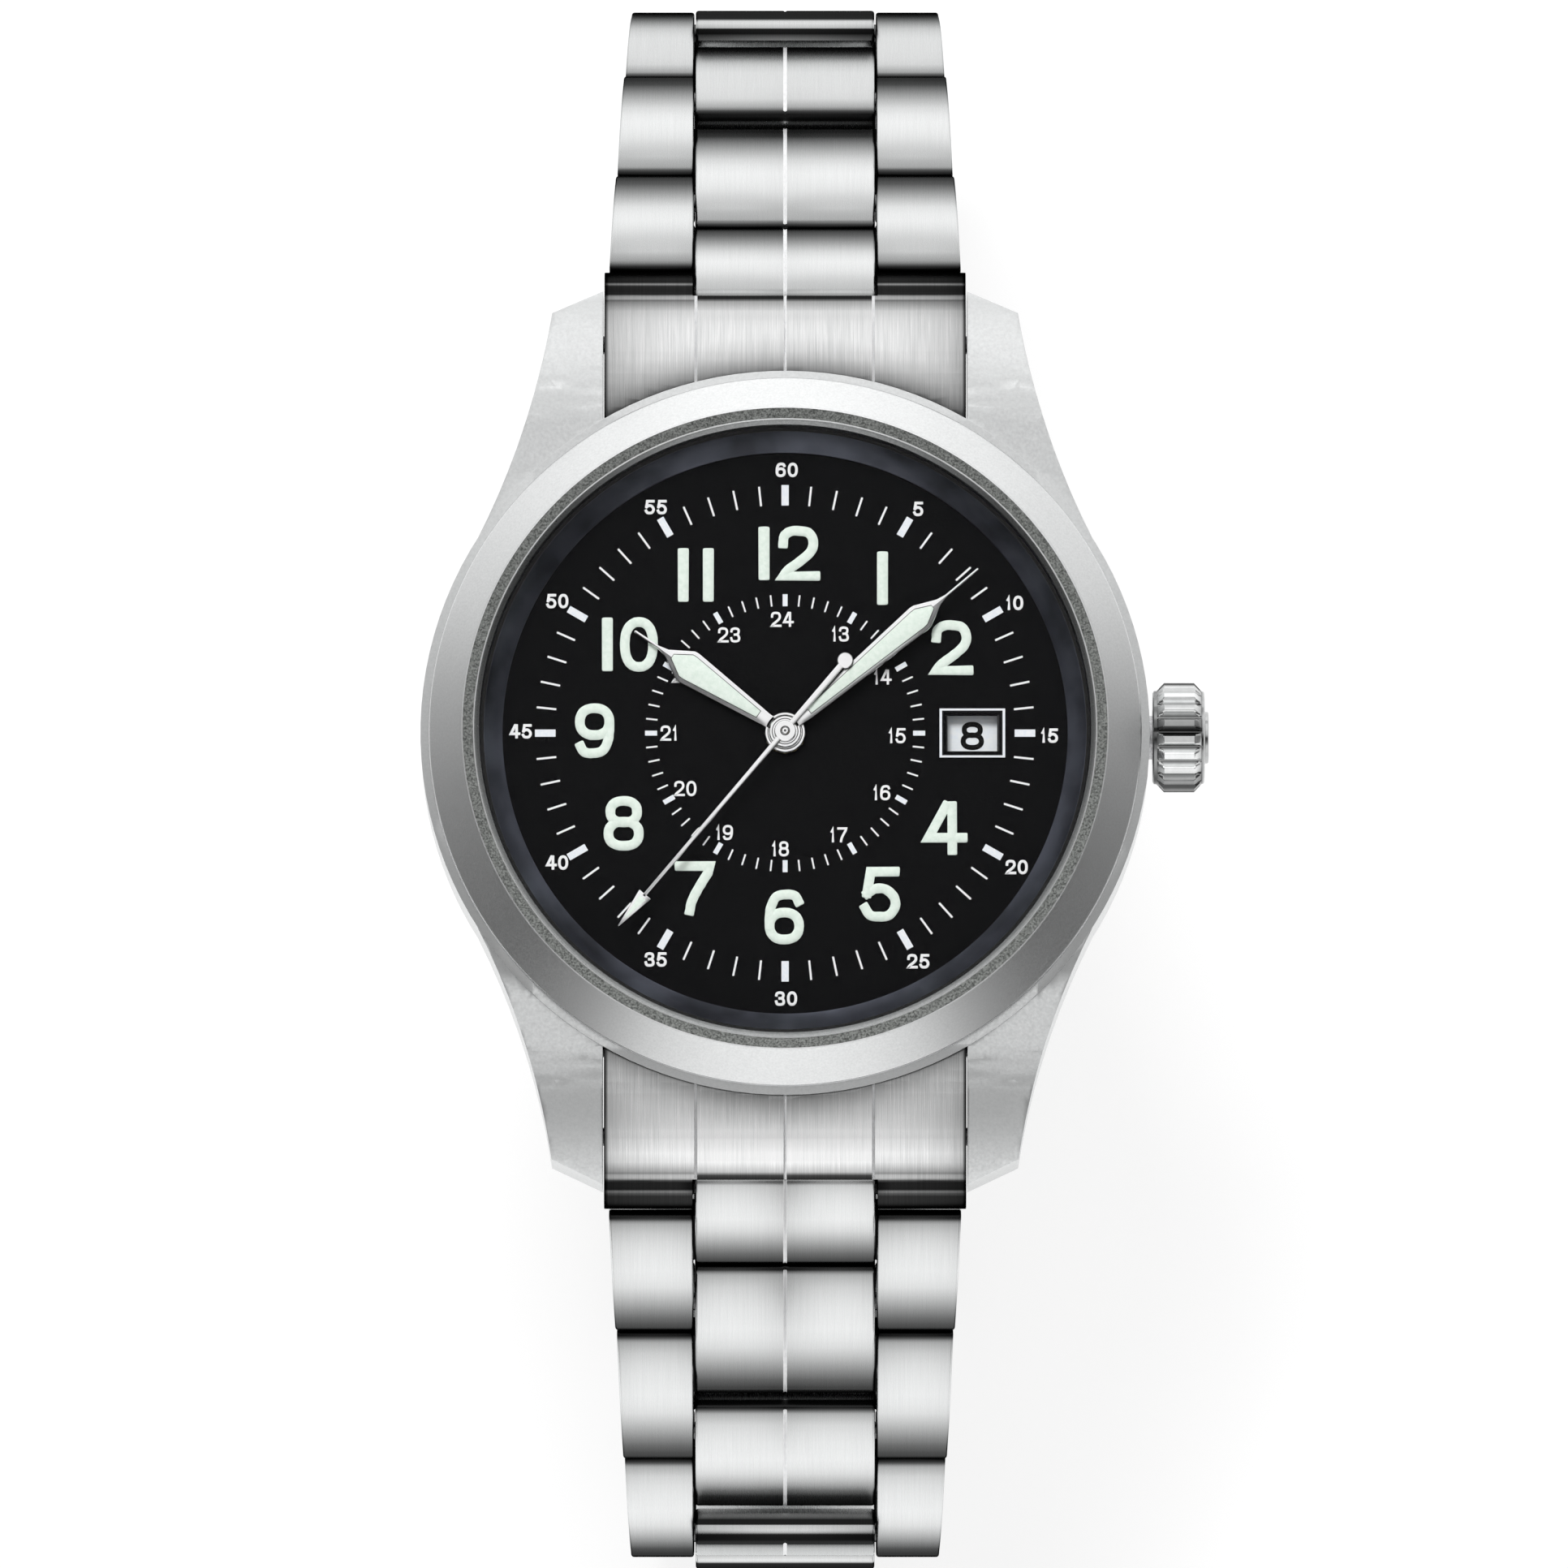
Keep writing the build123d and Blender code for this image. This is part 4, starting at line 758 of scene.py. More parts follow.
for build, places, height, thick in ((print_build, MINUTES, 0.8, 0.15), (ring_build, AFTERNOON, 0.84, 0.13)):
    for value, (x, y) in places.items():
        number(build, str(value), x, y, FIGURE_WIDTH, height, thick, DIAL, DIAL + PRINT_RISE, FIGURE_GAP)
print_build.make("minute_track", print_grey, "head", "dial", 40)
ring_build.make("inner_track", print_grey, "head", "dial", 40)
tick_build.make("five_minute_marks", print_white, "head", "dial", 40)


def bar_frame(build, x, outer, inner, low, high, inner_high, mark):
    """A rectangular frame about (x, 0); outer and inner are half sizes."""
    corners = ((-1, -1), (1, -1), (1, 1), (-1, 1))
    points = []
    for half, height in ((outer, low), (outer, high), (inner, inner_high), (inner, low)):
        points += [(x + sx * half[0], sy * half[1], z(height)) for sx, sy in corners]
    build.add(points, quads(4, 4, True), mark=mark)


DATE_X = 10.27
DATE_TOP = z(4.15)
window_build = Build()
bar_frame(window_build, DATE_X, (1.8, 1.35), (1.66, 1.24), 5.0, 5.11, 5.11, 0)
bar_frame(window_build, DATE_X, (1.66, 1.24), (1.36, 1.0), 4.98, 5.08, 4.82, 1)
window_build.make("date_window", [print_white, frame_black], "head", "date_frame", 20, ["date_frame"])

date_build = Build()
date_profile = [(8.4, 3.96), (12.3, 3.96), (12.35, 4.0), (12.35, 4.12), (12.3, 4.15), (8.4, 4.15), (8.35, 4.1)]
revolve(date_build, date_profile, 124)
date_build.make("date_disc", date_white, "date_ring", "date_ring", 30, ["date_ring"])
figure_build = Build()
DAY_COUNT, DAY_SHOWN = 31, 8
for day in range(1, DAY_COUNT + 1):
    turn = math.radians(360 / DAY_COUNT * (day - DAY_SHOWN))
    flat = Build()
    width = 1.28 if day < 10 else 0.8
    number(flat, str(day), DATE_X, -0.05, width, 1.56, 0.28, DATE_TOP, z(4.165), 0.2)
    c, s = math.cos(turn), math.sin(turn)
    figure_build.add([(x * c - y * s, x * s + y * c, h) for x, y, h in flat.points], flat.faces)
figure_build.make("date_figures", date_ink, "date_ring", "date_ring", 40)


# ---------------------------------------------------------------- hands
def blade(build, outline, angle, low, high, bevel, mark=0):
    """A flat blade from a right-hand outline of (half width, distance), turned clockwise from 12 o'clock."""
    loop = list(outline) + [(-w, d) for w, d in reversed(outline)]
    turn = math.radians(-angle)
    c, s = math.cos(turn), math.sin(turn)
    layers = (
        (loop, low), (loop, high - bevel), (inset(loop, bevel * 0.3), high - bevel * 0.3),
        (inset(loop, bevel), high),
    )
    loops = [[(x * c - y * s, x * s + y * c, height) for x, y in points] for points, height in layers]
    loft(build, loops, mark=mark)


HUB_BORE = 0.27
HUB_RING_INSET, HUB_RING_WIDTH = 0.2, 0.05
# The dark line round a hand's lume: how much wider and longer it is than the lume
LINE_WIDTH, LINE_LENGTH = 0.035, 0.03


def hand(name, outline, inner, angle, low, high, hub, body, node_name):
    """A hand's steel frame, and the lume in it with its dark line."""
    steel, fill = Build(), Build()
    blade(steel, outline, angle, low, high, 0.05)
    hub_profile = [
        (HUB_BORE, low), (hub, low), (hub, high - 0.06), (hub - 0.05, high), (HUB_BORE + 0.05, high),
        (HUB_BORE, high - 0.05),
    ]
    revolve(steel, hub_profile, 96, base=0)
    line = [(w + LINE_WIDTH, d + (LINE_LENGTH if i else -LINE_LENGTH)) for i, (w, d) in enumerate(inner)]
    blade(fill, line, angle, high - 0.03, high + 0.008, 0.004, 1)
    blade(fill, inner, angle, high - 0.02, high + 0.045, 0.03)
    ring = hub - HUB_RING_INSET
    ring_end = ring + HUB_RING_WIDTH
    ring_profile = [(ring, high - 0.02), (ring_end, high - 0.02), (ring_end, high + 0.003), (ring, high + 0.003)]
    revolve(fill, ring_profile, 72, marks=[1] * 4, base=0)
    steel.make(name + "_frame", hand_steel, body, "hands", 30, [node_name])
    fill.make(name + "_lume", [lume, hand_line], body, "hands", 40)


HOUR_ANGLE, MINUTE_ANGLE, SECONDS_ANGLE = 304.1, 49.7, 220.3
hand(
    "hour_hand_piece",
    [
        (0.36, 0.6), (0.38, 1.3), (0.42, 1.6), (0.96, 6.35), (0.93, 6.6), (0.2, 7.85), (0.085, 8.4), (0.08, 9.92),
        (0.04, 9.965),
    ],
    [(0.2, 1.77), (0.7, 6.3), (0.69, 6.55), (0.12, 7.45)],
    HOUR_ANGLE, z(5.3), z(5.5), 1.12, "hours", "hour_hand",
)
hand(
    "minute_hand_piece",
    [
        (0.28, 0.6), (0.33, 1.2), (0.38, 1.55), (0.79, 9.6), (0.76, 9.85), (0.19, 11.05), (0.08, 11.6),
        (0.07, 13.86), (0.04, 13.9),
    ],
    [(0.17, 1.74), (0.55, 9.5), (0.53, 9.78), (0.1, 10.6)],
    MINUTE_ANGLE, z(5.7), z(5.88), 0.88, "minutes", "minute_hand",
)

SECONDS_LOW, SECONDS_HIGH = z(6.06), z(6.165)
TAIL_DISTANCE = 5.09
seconds_build, seconds_fill = Build(), Build()
needle = [(0.17, -4.8), (0.16, 0), (0.13, 3.0), (0.1, 12.0)]
arrow = [(0.4, 11.85), (0.41, 11.9), (0.03, 14.13)]
blade(seconds_build, needle, SECONDS_ANGLE, SECONDS_LOW, SECONDS_HIGH, 0.03)
blade(seconds_build, arrow, SECONDS_ANGLE, SECONDS_LOW, SECONDS_HIGH, 0.02)
turn = math.radians(-SECONDS_ANGLE)
tail_centre = (TAIL_DISTANCE * math.sin(turn), -TAIL_DISTANCE * math.cos(turn))
tail_profile = [(0.01, 6.06), (0.4, 6.06), (0.43, 6.09), (0.43, 6.14), (0.39, 6.168), (0.01, 6.168)]
revolve(seconds_build, tail_profile, 48, tail_centre, closed=False)
revolve(
    seconds_build,
    [(0.2, 6.055), (0.58, 6.055), (0.59, 6.08), (0.59, 6.14), (0.55, 6.168), (0.24, 6.168), (0.2, 6.14)],
    64,
)
blade(seconds_fill, [(0.22, 12.08), (0.03, 13.55)], SECONDS_ANGLE, z(6.15), z(6.178), 0.01)
seconds_build.make("seconds_hand_needle", hand_steel, "seconds", "hands", 30, ["seconds_hand"])
seconds_fill.make("seconds_hand_lume", lume, "seconds", "hands", 40)
pin_build = Build()
revolve(pin_build, [(0.01, 6.05), (0.19, 6.05), (0.19, 6.2), (0.15, 6.24), (0.01, 6.25)], 40, closed=False)
revolve(pin_build, [(0.2, 6.15), (0.27, 6.15), (0.27, 6.175), (0.2, 6.175)], 40, marks=[1] * 4)
revolve(pin_build, [(0.01, 6.24), (0.07, 6.24), (0.07, 6.253), (0.01, 6.253)], 24, marks=[1] * 4)
pin_build.make("seconds_arbor_cap", [hand_steel, hand_line], "seconds", "hands", 40)


# ---------------------------------------------------------------- crown
CROWN_Z = z(3.0)
CROWN_RIBS = 20
CROWN_STEPS = CROWN_RIBS * 24
# The crown's rows from the case outwards, as (x, radius in the valleys, height of the ribs)
CROWN_ROWS = [
    (20.16, 1.55, 0), (20.16, 2.44, 0), (20.24, 2.56, 0), (20.4, 2.58, 0), (20.5, 2.58, 0.1), (20.72, 2.58, 0.34),
    (20.8, 2.58, 0.42), (22.44, 2.58, 0.42), (22.52, 2.58, 0.34), (22.76, 2.56, 0.1), (22.84, 2.56, 0),
    (22.96, 2.54, 0), (23.02, 2.46, 0), (23.02, 1.5, 0), (23.06, 1.44, 0), (23.2, 1.42, 0), (23.245, 1.36, 0),
    (23.245, 0.02, 0),
]
# Its cavity's rows, from the bottom to the mouth
CAVITY_ROWS = [(22.3, 0.72, 0), (22.3, 1.55, 0), (20.16, 1.55, 0)]
RIBS_START, RIBS_END = 20.2, 22.9
# Painted shade in the cavity and on the crown's plain ends
CAVITY_SHADE, END_SHADE = 0.2, 0.6
# Painted reflections on the crown, with a painted black line across it: shades by how far a point faces 12
# o'clock, from -1 to 1
CROWN_PAINTED_REFLECTIONS = [
    (-1.0, 0.15), (-0.93, 0.2), (-0.85, 0.45), (-0.7, 0.9), (-0.55, 1.0), (-0.2, 1.0), (-0.1, 0.65),
    (-0.02, 0.5), (0.02, 0.06), (0.08, 0.08), (0.11, 0.4), (0.25, 0.42), (0.32, 0.9), (0.45, 0.72), (0.6, 1.0),
    (0.8, 0.9), (0.88, 0.8), (0.93, 0.12), (0.97, 0.1), (1.0, 0.3),
]


def rib_radius(angle, rib, valley):
    """Ribs with sloping sides, their tops limited to a height, like hipped roofs."""
    phase = (angle * CROWN_RIBS / (2 * math.pi)) % 1
    wave = min(phase, 1 - phase) * 2
    return valley + min(rib, 0.42 * min(1, max(0, (wave - 0.12) / 0.5)))


crown_loops, crown_shades = [], []
for row, (x, valley, rib) in enumerate(CAVITY_ROWS + CROWN_ROWS):
    loop = []
    for step in range(CROWN_STEPS):
        angle = 2 * math.pi * step / CROWN_STEPS
        radius = rib_radius(angle, rib, valley)
        loop.append((x, radius * math.cos(angle), CROWN_Z + radius * math.sin(angle)))
        if row < len(CAVITY_ROWS):
            crown_shades.append(CAVITY_SHADE)
        elif RIBS_START < x < RIBS_END:
            # Painted shade: each rib darker towards its valleys
            height_share = min(1, (radius - valley) / 0.2)
            crown_shades.append(between(CROWN_PAINTED_REFLECTIONS, math.cos(angle)) * (0.35 + 0.65 * height_share))
        else:
            crown_shades.append(END_SHADE)
    crown_loops.append(loop)
crown_build = Build()
loft(crown_build, crown_loops, crown_shades)
crown_build.make("crown_ribbed", crown_polished, "crown", "crown_steel", 24, ["crown"], shaded=True)


# ---------------------------------------------------------------- bracelet
def link_profile(start, end, start_radius, end_radius):
    """A link's section: a crowned top running into rounded ends. A positive radius is an end's own
    circle about its hinge; a negative one is the circle of the neighbour that it clears."""
    middle, top_radius = (start + end) / 2, 12
    bottom = -LINK_HALF_THICKNESS
    corner, foot, lowest_shoulder = 0.5, 0.25, 0.46

    def end_at(w, tip, inward, radius):
        if radius < 0:
            return tip - inward * (-radius - math.sqrt(radius**2 - max(0.0, w) ** 2))
        return tip + inward * (radius - math.sqrt(max(0.0, radius**2 - w * w))) if radius else tip

    def top_at(u):
        return LINK_HALF_THICKNESS - (u - middle) ** 2 / (2 * top_radius)

    def half_profile(tip, inward, radius):
        face = [(end_at(bottom, tip, inward, radius) + inward * foot, bottom)]
        for w in (bottom + foot, -0.7, -0.43, -0.37, -0.12, 0.0, 0.12, 0.3, 0.42):
            face.append((end_at(w, tip, inward, radius), w))
        top_u = end_at(1.2, tip, inward, radius) + inward * corner
        shoulder = max(lowest_shoulder, top_at(top_u) - corner)
        base = end_at(shoulder, tip, inward, radius)
        top_u = base + inward * (corner + 0.05)
        rise = top_at(top_u) - shoulder
        for step in range(7):
            turn = math.pi / 2 * step / 6
            face.append((top_u + (base - top_u) * math.cos(turn), shoulder + rise * math.sin(turn)))
        return face

    front = half_profile(start, 1, start_radius)
    rear = half_profile(end, -1, end_radius)
    first, last = front[-1][0], rear[-1][0]
    top = [first + (last - first) * i / 12 for i in range(1, 12)]
    return front + [(u, top_at(u)) for u in top] + list(reversed(rear))


# Painted shade up a link's ends, by height over its middle, with a painted bright line across them, and a painted
# reflection along its top, from its front to its rear: bright in the middle, dark towards the ends
FACE_SHADES = [
    (-1.3, 0.8), (-1.2, 0.8), (-1.0, 0.3), (-0.7, 0.02), (-0.42, 0.02), (-0.36, 0.9), (-0.12, 1.0), (0.0, 0.9),
    (0.12, 0.03), (0.45, 0.02),
]
TOP_SHADES = [
    (0.0, 0.02), (0.02, 0.05), (0.05, 0.45), (0.09, 0.68), (0.16, 0.84), (0.3, 0.96), (0.45, 1.0), (0.56, 0.88),
    (0.66, 0.62), (0.75, 0.38), (0.84, 0.2), (0.92, 0.1), (1.0, 0.04),
]
TOP_START = 0.45
# Painted shade: near black on the caps that face the gaps and on the web, a little darker on the outer sides,
# darker on the pins
GAP_SHADE, SIDE_SHADE, WEB_SHADE, PIN_SHADE = 0.02, 0.8, 0.01, 0.3
LINK_BEVEL, BEVEL_STEPS = 0.16, 3
CENTRE_GROOVE = (0.0, 0.1, 0.05)


def end_shade(start, end, painted_side_light):
    """Painted reflection and painted shade: bright over the middle of a piece's top, darker to its far end, near
    black in the gaps.
    """
    def shade(u, w):
        if w <= TOP_START:
            return between(FACE_SHADES, w)
        return painted_side_light * between(TOP_SHADES, (u - start) / (end - start))
    return shade


def straight(build, outline, low, high, to_world, shade, caps, groove=None):
    """An outline of (u, w) points run across from low to high, with rounded long edges
    and a V groove of (place across, half width, depth) along the top. caps are the painted shades of its ends."""
    stations = []
    for step in range(BEVEL_STEPS + 1):
        turn = math.pi / 2 * step / BEVEL_STEPS
        stations.append((low + LINK_BEVEL * (1 - math.cos(turn)), LINK_BEVEL * (1 - math.sin(turn))))
    stations += [(low + high - across, amount) for across, amount in stations]
    rows = [(across, amount, 0.0) for across, amount in stations]
    if groove:
        centre, half, depth = groove
        rows += [(centre - half, 0, 0.0), (centre, 0, depth), (centre + half, 0, 0.0)]
    rows.sort(key=lambda row: row[0])
    loops, shades = [], []
    before = len(build.marks)
    for row, (across, amount, depth) in enumerate(rows):
        loop = inset(outline, amount) if amount > 1e-6 else outline
        loops.append([to_world(u, w - depth if w > TOP_START else w, across) for u, w in loop])
        cap = {0: caps[0], len(rows) - 1: caps[1]}.get(row)
        shades += [shade(u, w) if cap is None else cap for u, w in outline]
    loft(build, loops, shades)
    for row, (first, second) in enumerate(zip(rows, rows[1:])):
        if first[2] or second[2]:
            for index, (_, w) in enumerate(outline):
                if w > 0.6 and outline[(index + 1) % len(outline)][1] > 0.6:
                    build.marks[before + row * len(outline) + index] = 1


def make_link(side, index, name):
    """A link with its two outer bars, its centre piece, the web between them and its pin."""
    slope, length = math.radians(SLOPES[index]), LENGTHS[index]
    hinge_y, hinge_z = HINGES[index]
    along = Vector((0, side * math.cos(slope), -math.sin(slope)))
    up = Vector((0, side * math.sin(slope), math.cos(slope)))
    origin = Vector((0, side * hinge_y, hinge_z))
    first, last = index == 0, index == len(LENGTHS) - 1
    # Painted light: the links on the 12 o'clock side darker, those on the 6 o'clock side lighter
    painted_side_light = 0.9 if side > 0 else 1.05
    nose, own_tail = (SHORT_END, SHORT_END) if first else (LONG_NOSE, LONG_TAIL)
    next_nose, tail = (SHORT_END, SHORT_END) if last else (LONG_NOSE, LONG_TAIL)
    bar_front = own_tail + 0.25
    centre_rear = length - next_nose - (0.25 if last else 0.2)
    tail_end = length + tail
    width, next_width = HALF_WIDTHS[index], HALF_WIDTHS[index + 1]
    inner = CENTRE_HALF_WIDTH + BAR_GAP

    def to_world(u, w, across):
        return origin + along * u + up * w + Vector((across, 0, 0))

    def tapered(sign):
        def world(u, w, across):
            outer = width + (next_width - width) * max(0, u) / tail_end
            share = (across - inner) / (width - inner)
            return to_world(u, w, sign * (inner + share * (outer - inner)))
        return world

    def bar(outline, reach, shade):
        """A plain bar across the link, as far as a reach to each side."""
        loops = [[to_world(u, w, across) for u, w in outline] for across in (-reach, reach)]
        loft(build, loops, [shade] * (2 * len(outline)))

    build = Build()
    for sign in (1, -1):
        straight(
            build, link_profile(bar_front, tail_end, -bar_front, tail), inner, width, tapered(sign),
            end_shade(bar_front, tail_end, painted_side_light), (GAP_SHADE, SIDE_SHADE),
        )
    straight(
        build, link_profile(-nose, centre_rear, nose, centre_rear - length), -CENTRE_HALF_WIDTH,
        CENTRE_HALF_WIDTH, to_world, end_shade(-nose, centre_rear, painted_side_light), (GAP_SHADE, GAP_SHADE), CENTRE_GROOVE,
    )
    web_front, web_rear, web_low, web_high = bar_front + 0.1, centre_rear - 0.1, -1.15, 0.55
    web = [(web_front, web_low), (web_rear, web_low), (web_rear, web_high), (web_front, web_high)]
    bar(web, inner + 0.05, WEB_SHADE)
    if not (last and side > 0):
        angles = [a * math.pi / 12 for a in range(24)]
        pin = [(length + PIN_RADIUS * math.cos(a), PIN_RADIUS * math.sin(a)) for a in angles]
        bar(pin, inner + 0.1, PIN_SHADE)
    build.make(name + "_piece", [links_steel, groove_steel], name, "links", 30, [name], shaded=True)


# Painted shade on an end link, by how far a point is past the bezel, along the bracelet over its ears and over its
# nose, and across it: darker by the bezel, near black in the gaps with painted bright lines over the ears, darker
# at its sides
BEZEL_REACH = 19.9
BEZEL_SHADES = [(0.0, 0.1), (0.25, 0.35), (1.2, 0.75), (2.2, 0.95), (9.0, 1.0)]
NOSE_SHADES = [(0.0, 1.0), (23.6, 1.0), (24.0, 0.8), (24.13, 0.3), (24.24, 0.03), (30.0, 0.02)]
EAR_SHADES = [
    (0.0, 1.0), (23.2, 1.0), (23.9, 0.75), (24.15, 0.2), (24.25, 0.6), (24.4, 0.5), (24.5, 0.03), (25.0, 0.03),
    (25.1, 0.35), (25.2, 0.03), (30.0, 0.02),
]
ACROSS_SHADES = [(0.0, 1.0), (6.0, 0.95), (8.5, 0.8), (9.7, 0.6), (9.8, 0.15), (9.9, 0.03)]
END_GROOVES = ((-4.9, 0.08), (0.0, 0.08), (4.85, 0.08))

for side, side_name in ((1, "top"), (-1, "bottom")):
    for index in range(len(LENGTHS)):
        make_link(side, index, f"link_{side_name}_{index + 1}")

    def ear_shade(point, side=side):
        reach = side * point.y
        over = reach - math.sqrt(max(0.0, BEZEL_REACH**2 - point.x**2))
        value = between(BEZEL_SHADES, over)
        value *= between(EAR_SHADES if abs(point.x) > 4.9 else NOSE_SHADES, reach)
        value *= between(ACROSS_SHADES, abs(point.x))
        # Painted light: the end link on the 12 o'clock side darker, the one on the 6 o'clock side lighter
        return value * (0.86 if side > 0 else 1.25)

    edged(
        "end_link_" + side_name, 0.07, end_steel, None, "head", "end_links", grooves=END_GROOVES, shade=ear_shade
    )

# ---------------------------------------------------------------- clasp, back and movement
FLAT = 12
for row in (
    ("clasp_cover", 0.12, clasp_brushed, polished, "clasp_cover", "clasp_cover"),
    ("clasp_blade_a", 0.08, clasp_brushed, polished, "clasp_blade_a", "clasp_blades"),
    ("clasp_blade_b", 0.08, clasp_brushed, polished, "clasp_blade_b", "clasp_blades"),
    ("button_right", 0.12, polished, None, "button_right", "plain_steel"),
    ("button_left", 0.12, polished, None, "button_left", "plain_steel"),
    ("case_back", 0.15, back_steel, polished, "head", "case_back", FLAT),
    ("back_crystal", 0.06, glass, None, "head", "crystal"),
    ("main_plate", 0.04, plate_metal, None, "head", "plate", FLAT),
    ("train_bridge", 0.07, bridge_metal, polished, "head", "bridge", FLAT),
    ("balance_cock", 0.06, bridge_metal, polished, "head", "bridge", FLAT),
    ("crown_wheel", 0.03, wheel_steel, polished, "crown_wheel", "winding_steel", FLAT),
    ("ratchet_wheel", 0.03, wheel_steel, polished, "ratchet_wheel", "winding_steel", FLAT),
    ("balance_wheel", 0.03, brass, None, "balance", "brass", FLAT),
):
    edged(*row)
for made, node_names in (
    (brass, "cannon_pinion minute_wheel hour_wheel seconds_pinion"),
    (plain_steel, "crown_tube winding_stem spring_bar_top spring_bar_bottom clasp_bar cover_pin fold_pin"),
    (rubber, "crown_gasket"),
):
    for node_name in node_names.split():
        dress(node_name, made)

SCREWS = ((-9.6, 5.2), (-4.6, 10.2), (4.2, 10.4), (-11.0, -0.6), (-7.2, -8.0), (10.9, 2.4))
SCREW_PROFILE = [(0.01, 1.3), (0.75, 1.3), (0.75, 1.0), (0.68, 0.92), (0.01, 0.92)]
SLOT_REACH, SLOT_HALF_WIDTH = 0.62, 0.08
screw_build = Build()
for order, (x, y) in enumerate(SCREWS):
    revolve(screw_build, SCREW_PROFILE, 32, (x, y), closed=False)
    angle = 0.7 * order
    dx, dy = SLOT_REACH * math.cos(angle), SLOT_REACH * math.sin(angle)
    slot_line = [(x - dx, y - dy), (x + dx, y + dy)]
    stroke(screw_build, slot_line, False, SLOT_HALF_WIDTH, z(0.912), z(1.0), mark=1)
screw_build.make("bridge_screws", [polished, frame_black], "head", "bridge", 30)

JEWELS = ((0.0, -1.6), (-5.4, -2.6), (-2.9, -7.4), (-8.6, 1.6), (5.6, -6.2))
JEWEL_PROFILE = [(0.01, 1.2), (0.5, 1.2), (0.5, 1.07), (0.4, 1.05), (0.01, 1.05)]
SETTING_PROFILE = [(0.5, 1.2), (0.72, 1.2), (0.72, 1.085), (0.5, 1.06)]
jewel_build = Build()
for centre in JEWELS:
    revolve(jewel_build, JEWEL_PROFILE, 32, centre, closed=False)
    revolve(jewel_build, SETTING_PROFILE, 32, centre, marks=[1] * 4)
jewel_build.make("bridge_jewels", [ruby, polished], "head", "bridge", 30)


# ---------------------------------------------------------------- floor, light, camera
def bare(name):
    """A material that has no nodes yet."""
    made = bpy.data.materials.new(name)
    made.use_nodes = True
    made.node_tree.nodes.clear()
    return made


def studio_piece(name, points, faces, made):
    """A mesh of the studio, in metres."""
    mesh = bpy.data.meshes.new(name)
    mesh.from_pydata(points, [], faces)
    mesh.materials.append(made)
    obj = bpy.data.objects.new(name, mesh)
    bpy.context.scene.collection.objects.link(obj)
    return obj


FLOOR_REACH = 40.0
FLOOR_DROP = 0.00002
PAPER_TONE, PAPER_GLOW = 0.26, 0.8
corners = [(x * FLOOR_REACH, y * FLOOR_REACH, 0) for x, y in ((-1, -1), (1, -1), (1, 1), (-1, 1))]
paper = bare("studio_paper")
floor = studio_piece("studio_floor", corners, [(0, 1, 2, 3)], paper)
floor.location.z = min(cad_low[2], 0.0) - FLOOR_DROP
rays = node(paper, "ShaderNodeLightPath").outputs
seen = maths(paper, "MAXIMUM", rays["Is Camera Ray"], rays["Is Glossy Ray"])
seen = maths(paper, "MAXIMUM", seen, rays["Is Transmission Ray"])
glow = node(paper, "ShaderNodeEmission", Strength=maths(paper, "MULTIPLY", seen, PAPER_GLOW))
diffuse = node(paper, "ShaderNodeBsdfDiffuse", Color=(PAPER_TONE, PAPER_TONE, PAPER_TONE))
both = node(paper, "ShaderNodeAddShader")
for socket, shader in zip(both.inputs, (diffuse, glow)):
    feed(paper, socket, shader.outputs[0])
node(paper, "ShaderNodeOutputMaterial", Surface=both.outputs[0])


def ramp_of(made, factor, stops):
    """Greys between the stops of a table."""
    found = node(made, "ShaderNodeValToRGB", Fac=factor)
    ramp = found.color_ramp
    ramp.interpolation = "EASE"
    ramp.elements[0].position = stops[0][0]
    ramp.elements[1].position = stops[-1][0]
    for position, _ in stops[1:-1]:
        ramp.elements.new(position)
    for element, (position, value) in zip(ramp.elements, stops):
        element.position = position
        element.color = (value, value, value, 1)
    return found.outputs["Color"]


def dot(made, direction, axis):
    found = node(made, "ShaderNodeVectorMath", operation="DOT_PRODUCT", Vector=direction)
    found.inputs[1].default_value = axis
    return found.outputs["Value"]


# The studio's brightness round the horizon, from 6 o'clock to 12 o'clock
NORTH_STOPS = [
    (0.0, 1.05), (0.04, 0.88), (0.1, 0.26), (0.2, 0.08), (0.45, 0.17), (0.56, 0.32), (0.8, 0.86), (0.95, 1.15),
    (1.0, 1.3),
]
# Its brightness round the zenith, and how much darker it is at middle heights behind 12 o'clock
HEIGHT_STOPS = [(0.0, 0.82), (0.93, 0.86), (1.0, 0.97)]
DIM_STOPS = [(0.0, 1.0), (0.3, 1.0), (0.5, 0.56), (0.75, 0.6), (0.88, 1.0)]
OVERHEAD = (0, 0.2, 0.98)
STEEP = (0, 0.45, 0.89)
ZENITH_START, ZENITH_END = 0.9, 0.985


def studio_level(made, direction):
    """Brightness round the horizon: brightest behind 12 o'clock, bright before 6, dim to the sides."""
    x, y, _ = node(made, "ShaderNodeSeparateXYZ", Vector=direction).outputs
    across = maths(made, "ADD", maths(made, "MULTIPLY", x, x), maths(made, "MULTIPLY", y, y))
    across = maths(made, "MAXIMUM", maths(made, "SQRT", across), 1e-4)
    north = maths(made, "MULTIPLY_ADD", maths(made, "DIVIDE", y, across), 0.5, 0.5)
    return ramp_of(made, north, NORTH_STOPS)


world = bpy.data.worlds.new("studio")
bpy.context.scene.world = world
world.use_nodes = True
direction = node(world, "ShaderNodeTexCoord").outputs["Generated"]
overhead = dot(world, direction, OVERHEAD)
steep_dim = ramp_of(world, dot(world, direction, STEEP), DIM_STOPS)
low_level = mix(world, studio_level(world, direction), steep_dim, blend="MULTIPLY")
high_level = ramp_of(world, overhead, HEIGHT_STOPS)
rise = node(
    world, "ShaderNodeMapRange", interpolation_type="SMOOTHSTEP", From_Min=ZENITH_START, From_Max=ZENITH_END,
    Value=overhead,
).outputs["Result"]
feed(world, world.node_tree.nodes["Background"].inputs["Color"], mix(world, low_level, high_level, rise))

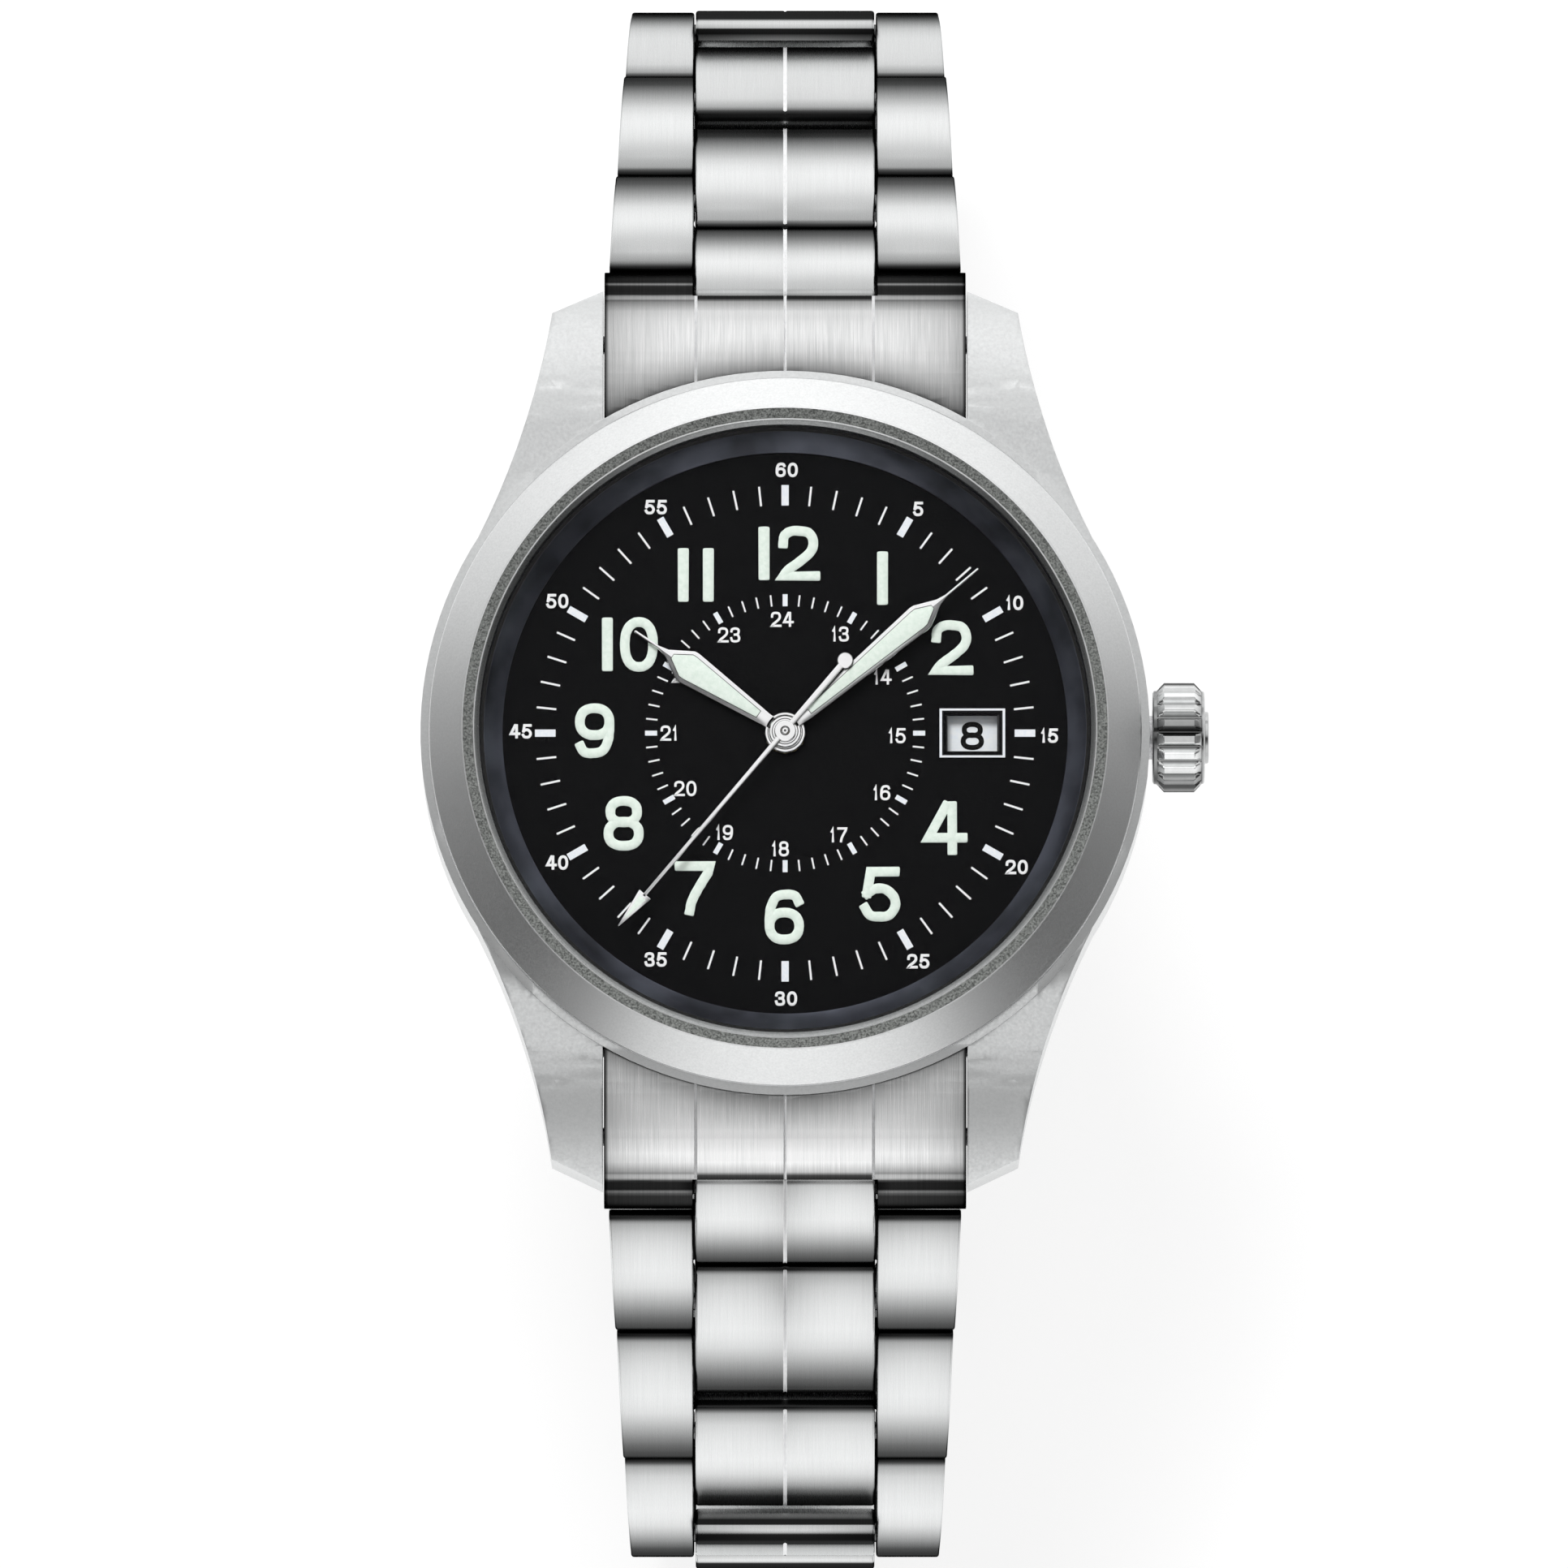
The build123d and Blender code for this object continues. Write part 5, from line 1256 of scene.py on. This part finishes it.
# A low surround that only reflections see, so that steel shows the studio's dim sides.
SURROUND_RADIUS, SURROUND_LOW, SURROUND_HIGH = 250.0, 2.0, 100.0
surround = Build()
revolve(surround, [(SURROUND_RADIUS, SURROUND_LOW), (SURROUND_RADIUS, SURROUND_HIGH)], 96, closed=False, base=0)
surround_paint = bare("studio_surround")
surround_points = [Vector(point) * MM for point in surround.points]
surround_object = studio_piece("studio_surround", surround_points, surround.faces, surround_paint)
surround_object.visible_camera = False
surround_object.visible_diffuse = False
surround_object.visible_shadow = False
coordinates = node(surround_paint, "ShaderNodeTexCoord").outputs["Object"]
glow = node(surround_paint, "ShaderNodeEmission", Color=studio_level(surround_paint, coordinates))
node(surround_paint, "ShaderNodeOutputMaterial", Surface=glow.outputs[0])

# The key lamp lights what isn't metal, and reflections don't show it.
LAMP_PLACE = Vector((-0.12, 0.42, 0.75))
LAMP_SIZE, LAMP_POWER = 0.25, 4.5
lamp_data = bpy.data.lights.new("key_lamp", "AREA")
lamp_data.shape = "RECTANGLE"
lamp_data.size = lamp_data.size_y = LAMP_SIZE
lamp_data.energy = LAMP_POWER
lamp = bpy.data.objects.new("key_lamp", lamp_data)
lamp.location = LAMP_PLACE
lamp.rotation_euler = (Vector((0, 0, BASE * MM)) - LAMP_PLACE).to_track_quat("-Z", "Y").to_euler()
lamp.visible_glossy = False
bpy.context.scene.collection.objects.link(lamp)

CAMERA_ELEVATION = math.radians(83.0)
CAMERA_DISTANCE = 2149.0
SENSOR_WIDTH, LENS = 36, 900
AIM_RIGHT, AIM_UP = -0.06, -2.91
camera_data = bpy.data.cameras.new("camera")
camera_data.sensor_width = SENSOR_WIDTH
camera_data.lens = LENS
camera_data.clip_start, camera_data.clip_end = 0.05, 200
camera = bpy.data.objects.new("camera", camera_data)
bpy.context.scene.collection.objects.link(camera)
view_back = Vector((0, -math.cos(CAMERA_ELEVATION), math.sin(CAMERA_ELEVATION)))
view_up = Vector((0, math.sin(CAMERA_ELEVATION), math.cos(CAMERA_ELEVATION)))
aim = Vector((AIM_RIGHT, 0, BASE + CAMERA_PIVOT_HEIGHT)) + view_up * AIM_UP
camera.location = (aim + view_back * CAMERA_DISTANCE) * MM
camera.rotation_euler = Matrix((Vector((1, 0, 0)), view_up, view_back)).transposed().to_euler()
bpy.context.scene.camera = camera
bpy.context.scene.view_settings.view_transform = "Standard"
